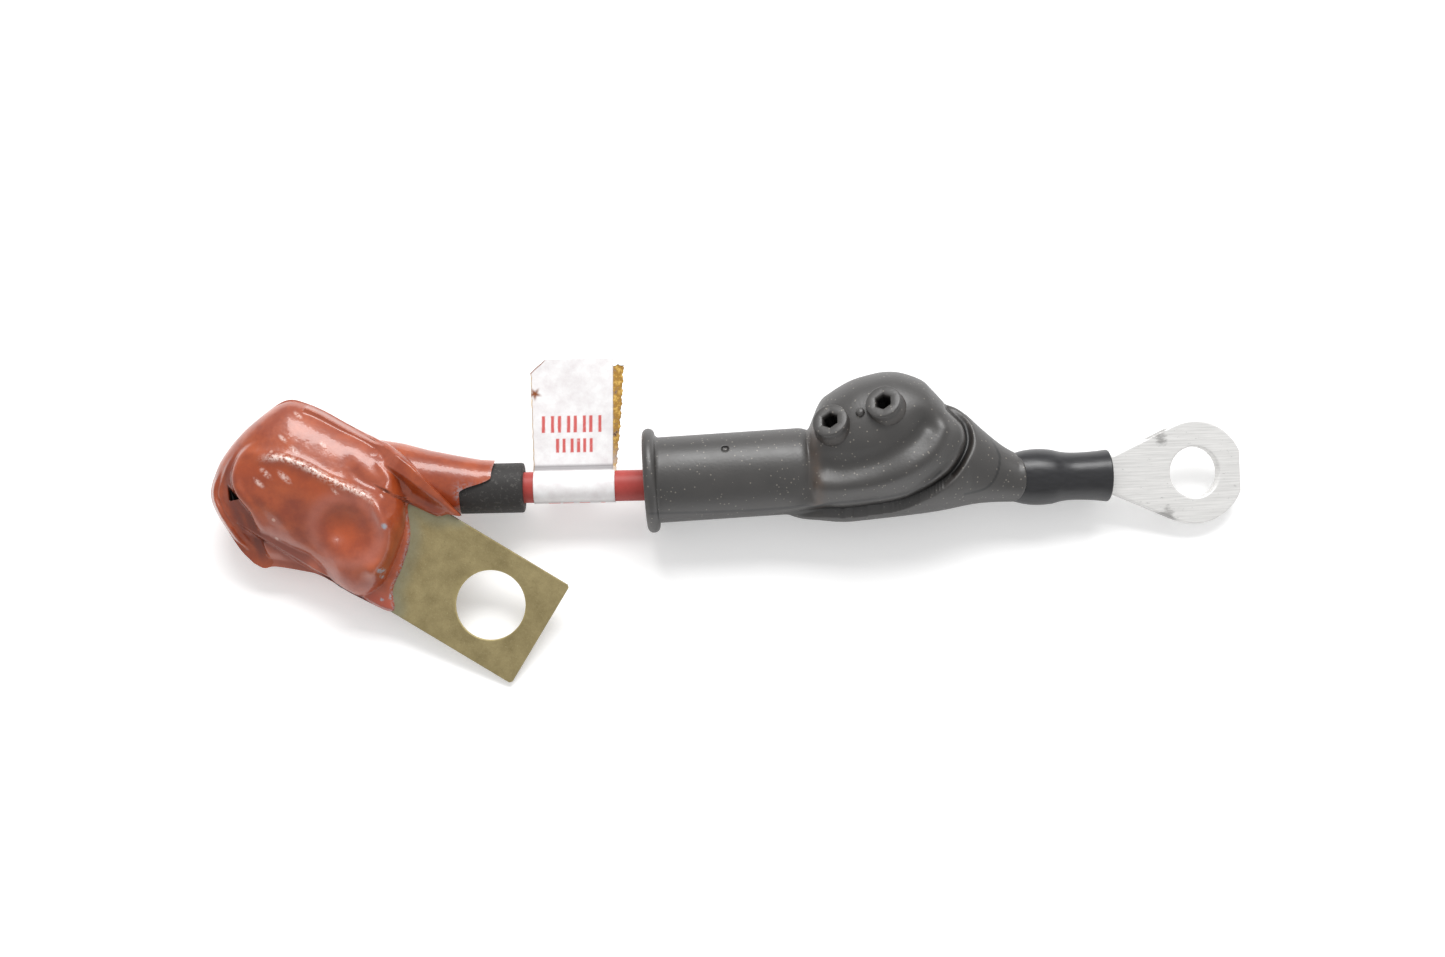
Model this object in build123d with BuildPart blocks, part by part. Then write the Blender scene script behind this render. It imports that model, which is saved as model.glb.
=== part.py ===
"""A fused wire lead: a dip-coated fuse with a brass plate, a short cable with a flag label, a rubber boot and a ring lug.

The lead is drawn in its own frame: u runs along the cable from the fuse to the ring, v runs across it and w rises out
of the face that the flat parts share. That frame lies rolled about the cable on the surface, with one plate corner,
the coat, the boot's flange and its hood touching down.
"""

import os
from math import cos, radians, sin, tan

from build123d import *

os.makedirs("parts", exist_ok=True)

# How the lead lies: rolled about its length, with the boot's flange on the surface
roll = 20.0
frame_x = -1.045
frame_y = 6.824

# Cable: stranded core and red insulation, slightly skewed to the boot and below its axis
core_radius = 2.1
insulation_radius = 2.95
wire_yaw = 1.2
wire_v = 0.1
wire_w = -1.0
insulation_start = -52.2
insulation_end = 55.5
bend_back = 8.5
bend_radius = 60.0
wire_droop = 5.0
core_bare = 10.5

# Ring lug: a crimp barrel flattened to a tongue with an eye
barrel_radius = 3.9
barrel_past = 2.5
core_clearance = 0.05
tongue_thickness = 2.6
tongue_neck = 7.1
root_width = 6.8
root_thickness = 2.8
tongue_lap = 2.0
flare_start = 0.4
ring_reach = 16.6
ring_radius = 9.9
ring_bore_radius = 4.9
ring_facet = 9.1
tongue_yaw = 2.2
tongue_droop = 7.0

# Heat-shrink sleeve over the lug's barrel
sleeve_wall = 0.9
sleeve_lap = 5.0
sleeve_mouth_fit = 4.55
sleeve_bulge = 5.3
bulge_run = 4.9
sleeve_waist = 4.65
waist_run = 6.5
sleeve_mouth_radius = 4.95
sleeve_tail = 7.2
neck_gap = 0.3

# Rubber sleeve at the fuse end of the cable
fuse_sleeve_radius = 4.75
fuse_sleeve_step = 0.8
fuse_sleeve_shown = 5.5

# Flag label: one film, wrapped round the wire and stuck to itself
film = 0.2
label_width = 15.4
label_gap = 1.9
flag_height = 24.4
flag_corner = 2.3
flag_lean = 0.9
flag_join = 4.6
join_pocket = 2.4
pocket_gap = 0.5
back_inset = 0.6
back_shift = 2.1
back_tear = 1.2

# Rubber boot: flange, tube, hood, studs and cone
flange_gap = 5.7
boot_wall = 1.8
tube_radius = 8.15
tube_back = 36.8
boot_yaw = 3.8
boot_v = 1.58
flange_radius = 9.95
flange_width = 2.35
stud_radius = 3.4
stud_height = 1.9
stud_bore = 1.45
stud_depth = 7.0
stud_lean = 22.0
stud_tilt = 30.0
nub_radius = 0.85
nub_height = 0.9
dimple_u = 0.0
dimple_turn = 38.0
dimple_radius = 0.72
dimple_depth = 0.7
stud_spots = ((34.7, 11.0, 9.1), (25.0, 14.4, 10.6))
nub_spot = (29.4, 12.9, 10.4)
hood_fullness = 0.75
mouth_grip = 4.1
mouth_wall = 0.75
mouth_slant = 22.0
throat_lead = 0.7
throat_gap = 0.3

# Terminal plate, seen at an angle to the cable
plate_turn = -30.9
plate_u = -78.0
plate_v = -1.0
plate_thickness = 1.2
plate_width = 21.4
plate_shift = -1.2
plate_start = -8.0
plate_end = 51.2
plate_bore_radius = 6.55
plate_bore_inset = 10.9
plate_corner = 0.5
plate_seat = 23.2
seat_depth = 0.1

# Fuse inside the coat: strip, block and rivets
strip_thickness = 0.8
strip_width = 14.0
strip_shift = 0.5
strip_bend = -9.0
strip_top_end = -3.0
strip_end = 9.0
neck_width = 3.2
neck_length = 6.0
neck_s = -1.5
block_thickness = 5.2
block_end = 10.5
block_width = 17.0
rivet_radius = 1.5
rivet_head_radius = 2.3
rivet_head = 1.0
plate_rivet_s = -5.8
eye_s = 5.2
eye_t = 3.0

# Ferrule on the fuse end of the wire
ferrule_radius = 3.4
ferrule_length = 8.3
ferrule_stop = 1.5
ferrule_tongue = 1.4
ferrule_width = 8.0
ferrule_lap = 1.5

# Dipped coat
neck_end = -43.7
neck_slant = 60.0
coat_round = 0.17
coat_fullness = 0.72
web_low = 2.2
web_thickness = 4.0
dent_radius = 5.0
dent_depth = 1.4
dent_s = 10.6
dent_t = -2.6
dent_top = 9.4
fold_gap = 1.2
fold_floor = 3.6
fold_reach = 8.0
fold_hole = 1.9
fold_hole_s = -11.7
fold_hole_t = -8.2
fold_hole_floor = 2.0

# Places along the cable: from the fuse end of the insulation and the coat's neck to the boot's flange, then from the
# other end of the insulation to the ring
ferrule_start = insulation_start - ferrule_length
core_start = ferrule_start + ferrule_stop
fuse_sleeve_start = insulation_start + fuse_sleeve_step
fuse_sleeve_end = neck_end + fuse_sleeve_shown
label_u = fuse_sleeve_end + label_gap + label_width / 2
tube_start = label_u + label_width / 2 + flange_gap
bend_u = insulation_end - bend_back
core_end = insulation_end + core_bare
barrel_end = core_end + barrel_past
tongue_start = barrel_end - tongue_lap
sleeve_start = insulation_end - sleeve_lap
throat_u = sleeve_start + throat_lead
mouth_u = sleeve_start + mouth_grip
sleeve_bulge_u = mouth_u + bulge_run
sleeve_waist_u = sleeve_bulge_u + waist_run
sleeve_end = sleeve_waist_u + sleeve_tail
neck_u = sleeve_end + neck_gap
ring_u = neck_u + ring_reach
tube_end = mouth_u - tube_back

boot_slope = tan(radians(boot_yaw))
lead_height = flange_radius - (boot_v + tube_start * boot_slope) * sin(radians(roll))
lead = Plane(
    origin=(frame_x, frame_y, lead_height),
    x_dir=(1, 0, 0),
    z_dir=(0, -sin(radians(roll)), cos(radians(roll))),
)
table = Plane.XY

# The plate's level: its lowest corner rests on the table
turn_sin, turn_cos = sin(radians(plate_turn)), cos(radians(plate_turn))
low_corner_v = plate_v + plate_end * turn_sin + (plate_shift - plate_width / 2) * turn_cos
plate_w = -(lead_height + low_corner_v * sin(radians(roll))) / cos(radians(roll))


def along(u, v, w):
    """A direction in the lead's own frame."""
    return lead.x_dir * u + lead.y_dir * v + lead.z_dir * w


def spot(u, v, w):
    """A point in the lead's own frame."""
    return lead.origin + along(u, v, w)


def across(u, v, w, yaw=0.0, droop=0.0):
    """A plane square to a run that leaves the lead's axis by a yaw towards v and a droop away from w."""
    yaw, droop = radians(yaw), radians(droop)
    run = along(cos(yaw) * cos(droop), sin(yaw) * cos(droop), -sin(droop))
    return Plane(origin=spot(u, v, w), x_dir=along(-sin(yaw), cos(yaw), 0), z_dir=run)


def facing(u, v, w, turn=0.0, droop=0.0):
    """A plane that faces out of the lead, its x axis turned in the lead's face and drooping away from it."""
    turn, droop = radians(turn), radians(droop)
    side = along(cos(turn) * cos(droop), sin(turn) * cos(droop), -sin(droop))
    out = along(cos(turn) * sin(droop), sin(turn) * sin(droop), cos(droop))
    return Plane(origin=spot(u, v, w), x_dir=side, z_dir=out)


def wire_side(u):
    """How far across the wire's axis has moved at u."""
    return wire_v + u * tan(radians(wire_yaw))


def wire_fall(u):
    """The wire's height at u: level, then drooping past the bend."""
    return wire_w - max(0.0, u - bend_u) * tan(radians(wire_droop)) / cos(radians(wire_yaw))


def wire_plane(u, droop=0.0):
    """A plane square to the wire at u."""
    return across(u, wire_side(u), wire_fall(u), wire_yaw, droop)


def wire_run(start, end):
    """Distance along the level part of the wire between two values of u."""
    return (end - start) / cos(radians(wire_yaw))


def wire_path(start, end):
    """The wire's route from start to end, bent once where it begins to droop."""
    points = [spot(u, wire_side(u), wire_fall(u)) for u in (start, bend_u, end)]
    return FilletPolyline(*points, radius=bend_radius)


# Copper core of the cable
with BuildPart() as wire_strands:
    with BuildLine() as core_route:
        wire_path(core_start, core_end)
    with BuildSketch(wire_plane(core_start)):
        Circle(core_radius)
    sweep(path=core_route.wire())
wire_strands.part.label = "wire_strands"
export_step(wire_strands.part, "parts/wire_strands.step")

# Red insulation, stripped at both ends
with BuildPart() as wire_insulation:
    with BuildLine() as insulation_route:
        wire_path(insulation_start, insulation_end)
    with BuildSketch(wire_plane(insulation_start)):
        Circle(insulation_radius)
        Circle(core_radius, mode=Mode.SUBTRACT)
    sweep(path=insulation_route.wire())
wire_insulation.part.label = "wire_insulation"
export_step(wire_insulation.part, "parts/wire_insulation.step")

# Heat-shrink sleeve over the crimp: bulged at its left end, waisted, and square cut at the tongue
sleeve_plane = wire_plane(sleeve_start, wire_droop)


def sleeve_run(u):
    """Distance along the drooping sleeve at u."""
    return (u - sleeve_start) / (cos(radians(wire_droop)) * cos(radians(wire_yaw)))


with BuildPart() as sleeve_form:
    with BuildSketch(Plane(sleeve_plane.origin, x_dir=sleeve_plane.x_dir, z_dir=-sleeve_plane.y_dir)):
        with BuildLine():
            grip = (insulation_radius + sleeve_wall, 0)
            shoulder = (sleeve_mouth_fit, sleeve_run(mouth_u))
            bulge = (sleeve_bulge, sleeve_run(sleeve_bulge_u))
            waist = (sleeve_waist, sleeve_run(sleeve_waist_u))
            mouth = (sleeve_mouth_radius, sleeve_run(sleeve_end))
            Spline(grip, shoulder, bulge, waist, mouth, tangents=((0.3, 1), (0, 1)))
            Polyline(mouth, (0, sleeve_run(sleeve_end)), (0, 0), grip)
        make_face()
    revolve(axis=Axis(sleeve_plane.origin, sleeve_plane.z_dir))

with BuildPart() as terminal_sleeve:
    add(sleeve_form.part)
    with BuildSketch(sleeve_plane):
        Circle(insulation_radius)
    extrude(amount=sleeve_run(insulation_end), mode=Mode.SUBTRACT)
    with BuildSketch(sleeve_plane.offset(sleeve_run(insulation_end))):
        Circle(barrel_radius)
    extrude(amount=sleeve_run(sleeve_end), mode=Mode.SUBTRACT)
terminal_sleeve.part.label = "terminal_sleeve"
export_step(terminal_sleeve.part, "parts/terminal_sleeve.step")

# Ring lug: barrel round the core, flattened to a tongue with parallel faces and an eye
ring_run = (ring_u - neck_u) / cos(radians(tongue_droop))
tongue_back = (neck_u - tongue_start) / cos(radians(tongue_droop))
tongue_plane = facing(neck_u, wire_side(neck_u), wire_fall(neck_u), tongue_yaw, tongue_droop)
with BuildPart() as ring_terminal:
    with BuildSketch(sleeve_plane.offset(sleeve_run(insulation_end))):
        Circle(barrel_radius)
    extrude(amount=sleeve_run(barrel_end) - sleeve_run(insulation_end))
    with BuildSketch(tongue_plane.offset(-tongue_thickness / 2)):
        with Locations((ring_run, 0)):
            Circle(ring_radius)
        Rectangle(flare_start, tongue_neck, align=(Align.MIN, Align.CENTER))
        make_hull()
        with Locations((ring_run + ring_facet, 0)):
            Rectangle(ring_radius, 2 * ring_radius, align=(Align.MIN, Align.CENTER), mode=Mode.SUBTRACT)
    extrude(amount=tongue_thickness)
    with BuildSketch(tongue_plane.offset(-root_thickness / 2)):
        Rectangle(tongue_back, root_width, align=(Align.MAX, Align.CENTER))
    extrude(amount=root_thickness)
    with Locations(tongue_plane * Location((ring_run, 0, tongue_thickness / 2))):
        Hole(ring_bore_radius)
    with BuildSketch(sleeve_plane.offset(sleeve_run(insulation_end))):
        Circle(core_radius + core_clearance)
    extrude(amount=sleeve_run(core_end) - sleeve_run(insulation_end) + core_clearance, mode=Mode.SUBTRACT)
ring_terminal.part.label = "ring_terminal"
export_step(ring_terminal.part, "parts/ring_terminal.step")

# Rubber sleeve where the cable leaves the coat, gripping the insulation
with BuildPart() as fuse_sleeve:
    with BuildSketch(wire_plane(fuse_sleeve_start)):
        Circle(fuse_sleeve_radius)
        Circle(insulation_radius, mode=Mode.SUBTRACT)
    extrude(amount=wire_run(fuse_sleeve_start, fuse_sleeve_end))
fuse_sleeve.part.label = "fuse_sleeve"
export_step(fuse_sleeve.part, "parts/fuse_sleeve.step")

# Flag label: a wrap round the insulation whose two ends run together as the flag
wrap_radius = insulation_radius + film
half_label = label_width / 2
flag_rise = flag_height - flag_join
with BuildSketch() as wrap_ring:
    Circle(wrap_radius)

with BuildSketch() as wrap_join:
    with Locations((flag_join, 0)):
        Rectangle(film, 2 * film)

with BuildSketch() as wrap_outline:
    make_hull(wrap_ring.sketch.edges() + wrap_join.sketch.edges())

with BuildPart() as flag_label:
    with BuildSketch(wire_plane(label_u - half_label)):
        add(wrap_outline.sketch)
        Circle(insulation_radius, mode=Mode.SUBTRACT)
        with Locations((flag_join - pocket_gap, 0)):
            Rectangle(join_pocket, pocket_gap, align=(Align.MAX, Align.CENTER), mode=Mode.SUBTRACT)
    extrude(amount=label_width)
    front = facing(label_u, wire_side(label_u) + flag_join, wire_w, wire_yaw)
    with BuildSketch(front):
        with BuildLine():
            Polyline(
                (-half_label, -film / 2), (half_label, -film / 2), (half_label, flag_rise),
                (flag_corner - half_label, flag_rise), (-half_label - flag_lean, flag_rise - flag_corner),
                (-half_label, -film / 2),
            )
        make_face()
    extrude(amount=film)
    with BuildSketch(front):
        with BuildLine():
            torn = flag_rise - back_tear
            Polyline(
                (back_inset - half_label, -film / 2), (half_label, -film / 2), (half_label + back_shift, torn),
                (2 * back_inset - half_label, torn - back_inset), (back_inset - half_label, -film / 2),
            )
        make_face()
    extrude(amount=-film)
flag_label.part.label = "flag_label"
export_step(flag_label.part, "parts/flag_label.step")

# Terminal plate: sheared brass strip with a punched bolt hole, its bare end coined flat as the bolt's seat
plate_plane = facing(plate_u, plate_v, plate_w, plate_turn)
with BuildPart() as terminal_plate:
    with BuildSketch(plate_plane):
        with Locations(((plate_start + plate_end) / 2, plate_shift)):
            Rectangle(plate_end - plate_start, plate_width)
    extrude(amount=plate_thickness)
    fillet(terminal_plate.edges().filter_by(Axis(lead.origin, lead.z_dir)), plate_corner)
    with BuildSketch(plate_plane.offset(plate_thickness)):
        with Locations((plate_end, plate_shift)):
            Rectangle(plate_seat, plate_width, align=(Align.MAX, Align.CENTER))
    extrude(amount=-seat_depth, mode=Mode.SUBTRACT)
    with Locations(plate_plane * Location((plate_end - plate_bore_inset, plate_shift, plate_thickness))):
        Hole(plate_bore_radius)
    with Locations(plate_plane * Location((plate_rivet_s, plate_shift, plate_thickness))):
        Hole(rivet_radius)
terminal_plate.part.label = "terminal_plate"
export_step(terminal_plate.part, "parts/terminal_plate.step")

# Fusible strip: bent back on itself round the block, with a narrow neck in its lower run
strip_low = -block_thickness
strip_top = plate_thickness
bend_inner = (strip_top - strip_low) / 2
bend_outer = bend_inner + strip_thickness
bend_level = (strip_top + strip_low) / 2
strip_side = Plane(
    origin=plate_plane.from_local_coords((0, strip_shift, 0)), x_dir=plate_plane.x_dir, z_dir=-plate_plane.y_dir
)
with BuildPart() as fuse_strip:
    with BuildSketch(strip_side):
        with BuildLine():
            top_outer = strip_top + strip_thickness
            low_outer = strip_low - strip_thickness
            Line((strip_top_end, top_outer), (strip_bend, top_outer))
            ThreePointArc((strip_bend, top_outer), (strip_bend - bend_outer, bend_level), (strip_bend, low_outer))
            Line((strip_bend, low_outer), (strip_end, low_outer))
            Line((strip_end, low_outer), (strip_end, strip_low))
            Line((strip_end, strip_low), (strip_bend, strip_low))
            ThreePointArc((strip_bend, strip_low), (strip_bend - bend_inner, bend_level), (strip_bend, strip_top))
            Line((strip_bend, strip_top), (strip_top_end, strip_top))
            Line((strip_top_end, strip_top), (strip_top_end, top_outer))
        make_face()
    extrude(amount=strip_width / 2, both=True)
    with BuildSketch(plate_plane.offset(low_outer)):
        notch = (strip_width - neck_width) / 2
        for side in (-1, 1):
            with Locations((neck_s, strip_shift + side * (neck_width + notch) / 2)):
                Rectangle(neck_length, notch)
    extrude(amount=strip_thickness, mode=Mode.SUBTRACT)
    with Locations(plate_plane * Location((plate_rivet_s, plate_shift, top_outer))):
        Hole(rivet_radius, depth=2 * strip_thickness)
    with Locations(plate_plane * Location((eye_s, eye_t, strip_low))):
        Hole(rivet_radius, depth=2 * strip_thickness)
fuse_strip.part.label = "fuse_strip"
export_step(fuse_strip.part, "parts/fuse_strip.step")

# Insulating block between the runs of the strip, recessed for the inner rivet heads
nose = block_thickness / 2
with BuildPart() as fuse_block:
    with BuildSketch(strip_side):
        with Locations(((strip_bend + block_end) / 2, -nose)):
            Rectangle(block_end - strip_bend, block_thickness)
        with Locations((strip_bend, -nose)):
            Circle(nose)
    extrude(amount=block_width / 2, both=True)
    with Locations(plate_plane * Location((plate_rivet_s, plate_shift, 0))):
        Hole(rivet_head_radius, depth=rivet_head)
    with BuildSketch(plate_plane.offset(strip_low)):
        with Locations((eye_s, eye_t)):
            Circle(rivet_head_radius)
    extrude(amount=rivet_head, mode=Mode.SUBTRACT)
fuse_block.part.label = "fuse_block"
export_step(fuse_block.part, "parts/fuse_block.step")


# Rivets square to the plate, each a shank with two heads: strip to plate, and strip to the ferrule's eye
eye_low = low_outer - ferrule_tongue
rivets = {}
for name, rivet_s, rivet_t, low, high in (
    ("plate_rivet", plate_rivet_s, plate_shift, 0, top_outer),
    ("ferrule_rivet", eye_s, eye_t, eye_low, strip_low),
):
    with BuildPart() as rivet:
        with BuildSketch(plate_plane.offset(low)):
            with Locations((rivet_s, rivet_t)):
                Circle(rivet_radius)
        extrude(amount=high - low)
        for level in (low - rivet_head, high):
            with BuildSketch(plate_plane.offset(level)):
                with Locations((rivet_s, rivet_t)):
                    Circle(rivet_head_radius)
            extrude(amount=rivet_head)
    rivet.part.label = name
    export_step(rivet.part, f"parts/{name}.step")
    rivets[name] = rivet

# Ferrule: a barrel round the stripped core, flattened to an eye under the strip
eye_point = lead.to_local_coords(plate_plane.from_local_coords((eye_s, eye_t, eye_low)))
with BuildPart() as ferrule_form:
    with BuildSketch(wire_plane(ferrule_start)):
        Circle(ferrule_radius)
    extrude(amount=wire_run(ferrule_start, insulation_start))
    with BuildSketch(facing(eye_point.X, eye_point.Y, eye_point.Z)):
        Circle(ferrule_width / 2)
        with BuildLine():
            reach = ferrule_start - eye_point.X + ferrule_lap
            root = wire_side(ferrule_start) - eye_point.Y
            flank = ferrule_radius * cos(radians(45))
            Polyline(
                (0, ferrule_width / 2), (reach, root + flank), (reach, root - flank),
                (0, -ferrule_width / 2), (0, ferrule_width / 2),
            )
        make_face()
    extrude(amount=ferrule_tongue)
    with Locations(facing(eye_point.X, eye_point.Y, eye_point.Z + ferrule_tongue)):
        Hole(rivet_radius)

with BuildPart() as wire_ferrule:
    add(ferrule_form.part)
    with BuildSketch(wire_plane(core_start)):
        Circle(core_radius + core_clearance)
    extrude(amount=wire_run(core_start, insulation_start), mode=Mode.SUBTRACT)
wire_ferrule.part.label = "wire_ferrule"
export_step(wire_ferrule.part, "parts/wire_ferrule.step")


def coat_section(s, t_low, t_high, front, crest, back, edge_w, low_w):
    """One section of the coat's body, square to the plate's length: a smooth closed line through the outline's two
    edges, three points (across, up) of the top and three of the rounded underside."""
    plane = Plane(
        origin=plate_plane.from_local_coords((s, 0, -plate_w)), x_dir=plate_plane.y_dir, z_dir=plate_plane.x_dir
    )
    inset = (t_high - t_low) * coat_round
    under = edge_w + (low_w - edge_w) * coat_fullness
    with BuildSketch(plane) as section:
        with BuildLine():
            Spline(
                (t_low, edge_w), front, crest, back, (t_high, edge_w), (t_high - inset, under),
                ((t_low + t_high) / 2, low_w), (t_low + inset, under), periodic=True,
            )
        make_face()
    return section.sketch


def round_section(u, v, w, half_v, half_w, yaw=0.0, droop=0.0):
    """One oval section across the lead."""
    with BuildSketch(across(u, v, w, yaw, droop)) as section:
        Ellipse(half_v, half_w)
    return section.sketch


# Dipped coat: a thick soft skin that runs from the fuse down the plate and along the sleeve
coat_body = (
    (-17.0, -8.6, 0.6, (-7.0, 3.2), (-4.0, 3.9), (-1.2, 3.2), 1.5, -0.9),
    (-15.5, -11.6, 6.0, (-9.5, 4.4), (-3.5, 5.6), (2.5, 4.8), 1.5, -3.4),
    (-13.0, -13.3, 11.6, (-10.0, 6.6), (-2.5, 8.0), (5.5, 5.4), 1.5, -5.0),
    (-9.5, -15.1, 13.3, (-11.0, 7.8), (0.5, 9.4), (8.0, 6.4), 1.5, -6.5),
    (-4.0, -17.0, 13.9, (-11.5, 7.6), (2.5, 10.0), (9.0, 6.9), 1.5, -8.0),
    (3.0, -15.6, 14.2, (-10.0, 7.7), (4.0, 9.9), (9.5, 6.4), 1.5, -8.2),
    (9.0, -13.4, 14.6, (-9.0, 7.9), (4.5, 9.6), (10.0, 6.6), 1.7, -7.6),
    (14.5, -12.8, 13.9, (-8.5, 9.2), (2.5, 9.8), (10.5, 6.6), 3.1, -4.5),
    (18.5, -12.5, 12.6, (-8.6, 8.0), (-2.0, 9.2), (5.0, 6.0), 3.9, -1.0),
    (21.5, -12.2, 11.6, (-9.5, 4.8), (0.0, 4.9), (8.0, 4.8), 3.9, 2.8),
)
coat_neck = (
    (-74.0, 1.6, 1.2, 8.8, 7.4),
    (-66.0, 1.4, 0.4, 7.1, 6.9),
    (-61.0, 1.0, -0.3, 6.6, 6.5),
    (-56.0, 0.2, -0.7, 6.2, 5.9),
    (-50.3, -0.2, -0.9, 5.5, 5.4),
    (-46.5, -0.5, -1.0, 5.15, 5.2),
    (-42.0, -0.6, -1.0, 5.0, 5.0),
)
web_outline = ((-68.0, 9.6), (-62.0, 5.6), (-57.0, 1.4), (-51.5, -5.2), (-58.5, -2.9), (-66.0, 1.5))
fold_line = (
    (-13.4, 3.0), (-14.6, 0.9), (-15.0, -1.4), (-14.7, -3.8), (-13.9, -6.0), (-12.3, -7.7), (-9.8, -9.0),
    (-7.4, -10.3), (-5.6, -12.2), (-3.8, -13.6),
)
with BuildPart() as dip_coat:
    loft([coat_section(*row) for row in coat_body])
    loft([round_section(*row) for row in coat_neck])
    with BuildSketch(facing(0, 0, web_low)):
        with BuildLine():
            Polyline(*web_outline, close=True)
        make_face()
    extrude(amount=web_thickness)
    neck_cut = facing(neck_end, wire_side(neck_end) + fuse_sleeve_radius, wire_w, neck_slant)
    with BuildSketch(Plane(neck_cut.origin, x_dir=neck_cut.x_dir, z_dir=-neck_cut.y_dir)):
        Rectangle(6 * fuse_sleeve_radius, 4 * fuse_sleeve_radius)
    extrude(amount=4 * fuse_sleeve_radius, mode=Mode.SUBTRACT)
    dent_ball = (dent_radius**2 + dent_depth**2) / (2 * dent_depth)
    with Locations(plate_plane * Location((dent_s, dent_t, dent_top - plate_w + dent_ball - dent_depth))):
        Sphere(dent_ball, mode=Mode.SUBTRACT)
    with BuildSketch(plate_plane.offset(fold_floor - plate_w)):
        with BuildLine():
            Spline(*fold_line)
        trace(line_width=fold_gap)
    extrude(amount=fold_reach, mode=Mode.SUBTRACT)
    with BuildSketch(plate_plane.offset(fold_hole_floor - plate_w)):
        with Locations((fold_hole_s, fold_hole_t)):
            RegularPolygon(fold_hole, 3)
    extrude(amount=fold_reach, mode=Mode.SUBTRACT)
    split(bisect_by=table)
    with BuildSketch(wire_plane(insulation_start)):
        Circle(insulation_radius)
    extrude(amount=wire_run(insulation_start, fuse_sleeve_start), mode=Mode.SUBTRACT)
    with BuildSketch(wire_plane(fuse_sleeve_start)):
        Circle(fuse_sleeve_radius)
    extrude(amount=wire_run(fuse_sleeve_start, fuse_sleeve_end), mode=Mode.SUBTRACT)
    for buried in (terminal_plate, fuse_strip, fuse_block, *rivets.values(), ferrule_form):
        add(buried.part, mode=Mode.SUBTRACT)
dip_coat.part.label = "dip_coat"
export_step(dip_coat.part, "parts/dip_coat.step")


def boot_plane(u):
    """A plane square to the boot's tube at u."""
    return across(u, boot_v + u * boot_slope, 0, boot_yaw)


def full_section(u, v_low, v_high, half_w):
    """One section of the hood across the lead: an oval drawn out towards its corners."""
    half_v = (v_high - v_low) / 2
    side, rise = half_v * hood_fullness, half_w * hood_fullness
    with BuildSketch(across(u, (v_low + v_high) / 2, 0)) as section:
        with BuildLine():
            Spline(
                (-half_v, 0), (-side, rise), (0, half_w), (side, rise), (half_v, 0), (side, -rise), (0, -half_w),
                (-side, -rise), periodic=True,
            )
        make_face()
    return section.sketch


# Rubber boot: rolled flange, tube, swollen hood with two hollow studs, and the scoop that narrows to the mouth. Each
# section starts with its distance back from the mouth; the deep fold is where the hood meets the scoop.
hood_sections = (
    (39.8, -4.4, 8.6, 6.6),
    (36.6, -5.1, 15.6, 9.9),
    (32.6, -4.9, 18.8, 11.0),
    (27.1, -4.0, 20.8, 11.8),
    (21.3, -3.2, 21.1, 11.9),
    (16.6, -2.0, 19.2, 11.2),
    (12.4, 0.6, 14.8, 9.2),
    (9.8, 3.6, 12.4, 7.0),
    (8.0, 7.0, 9.6, 3.0),
)
scoop_sections = (
    (44.1, -1.1, 0.0, 4.1, 7.0),
    (40.4, 0.8, 0.0, 7.3, 7.2),
    (34.6, 2.0, 0.0, 9.1, 7.6),
    (27.1, 3.2, 0.0, 10.1, 7.9),
    (21.6, 4.2, 0.0, 10.4, 8.8),
    (15.7, 4.9, 0.0, 10.3, 9.5),
    (11.7, 4.9, -0.1, 9.6, 8.3),
    (7.9, 4.2, -0.5, 8.1, 6.7),
    (4.1, 2.7, -1.0, 6.2, 5.8),
)
hollow_sections = (
    (42.1, 2.4, 0.0, 5.3, 5.3),
    (38.6, 3.1, 0.0, 6.8, 6.2),
    (35.6, 4.6, 0.0, 9.1, 7.6),
    (30.6, 6.4, 0.0, 10.9, 9.0),
    (23.6, 7.4, 0.0, 11.5, 9.4),
    (17.6, 6.9, 0.0, 10.3, 8.6),
    (12.1, 4.9, -0.1, 7.5, 6.8),
    (6.6, 3.2, -0.7, 5.2, 4.9),
)
mouth_radius = sleeve_mouth_fit + mouth_wall
mouth_ring = round_section(
    mouth_u, wire_side(mouth_u), wire_fall(mouth_u), mouth_radius, mouth_radius, droop=mouth_slant
)
throat_radius = insulation_radius + sleeve_wall + throat_gap
throat_ring = round_section(throat_u, wire_side(throat_u), wire_fall(throat_u), throat_radius, throat_radius)
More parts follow.
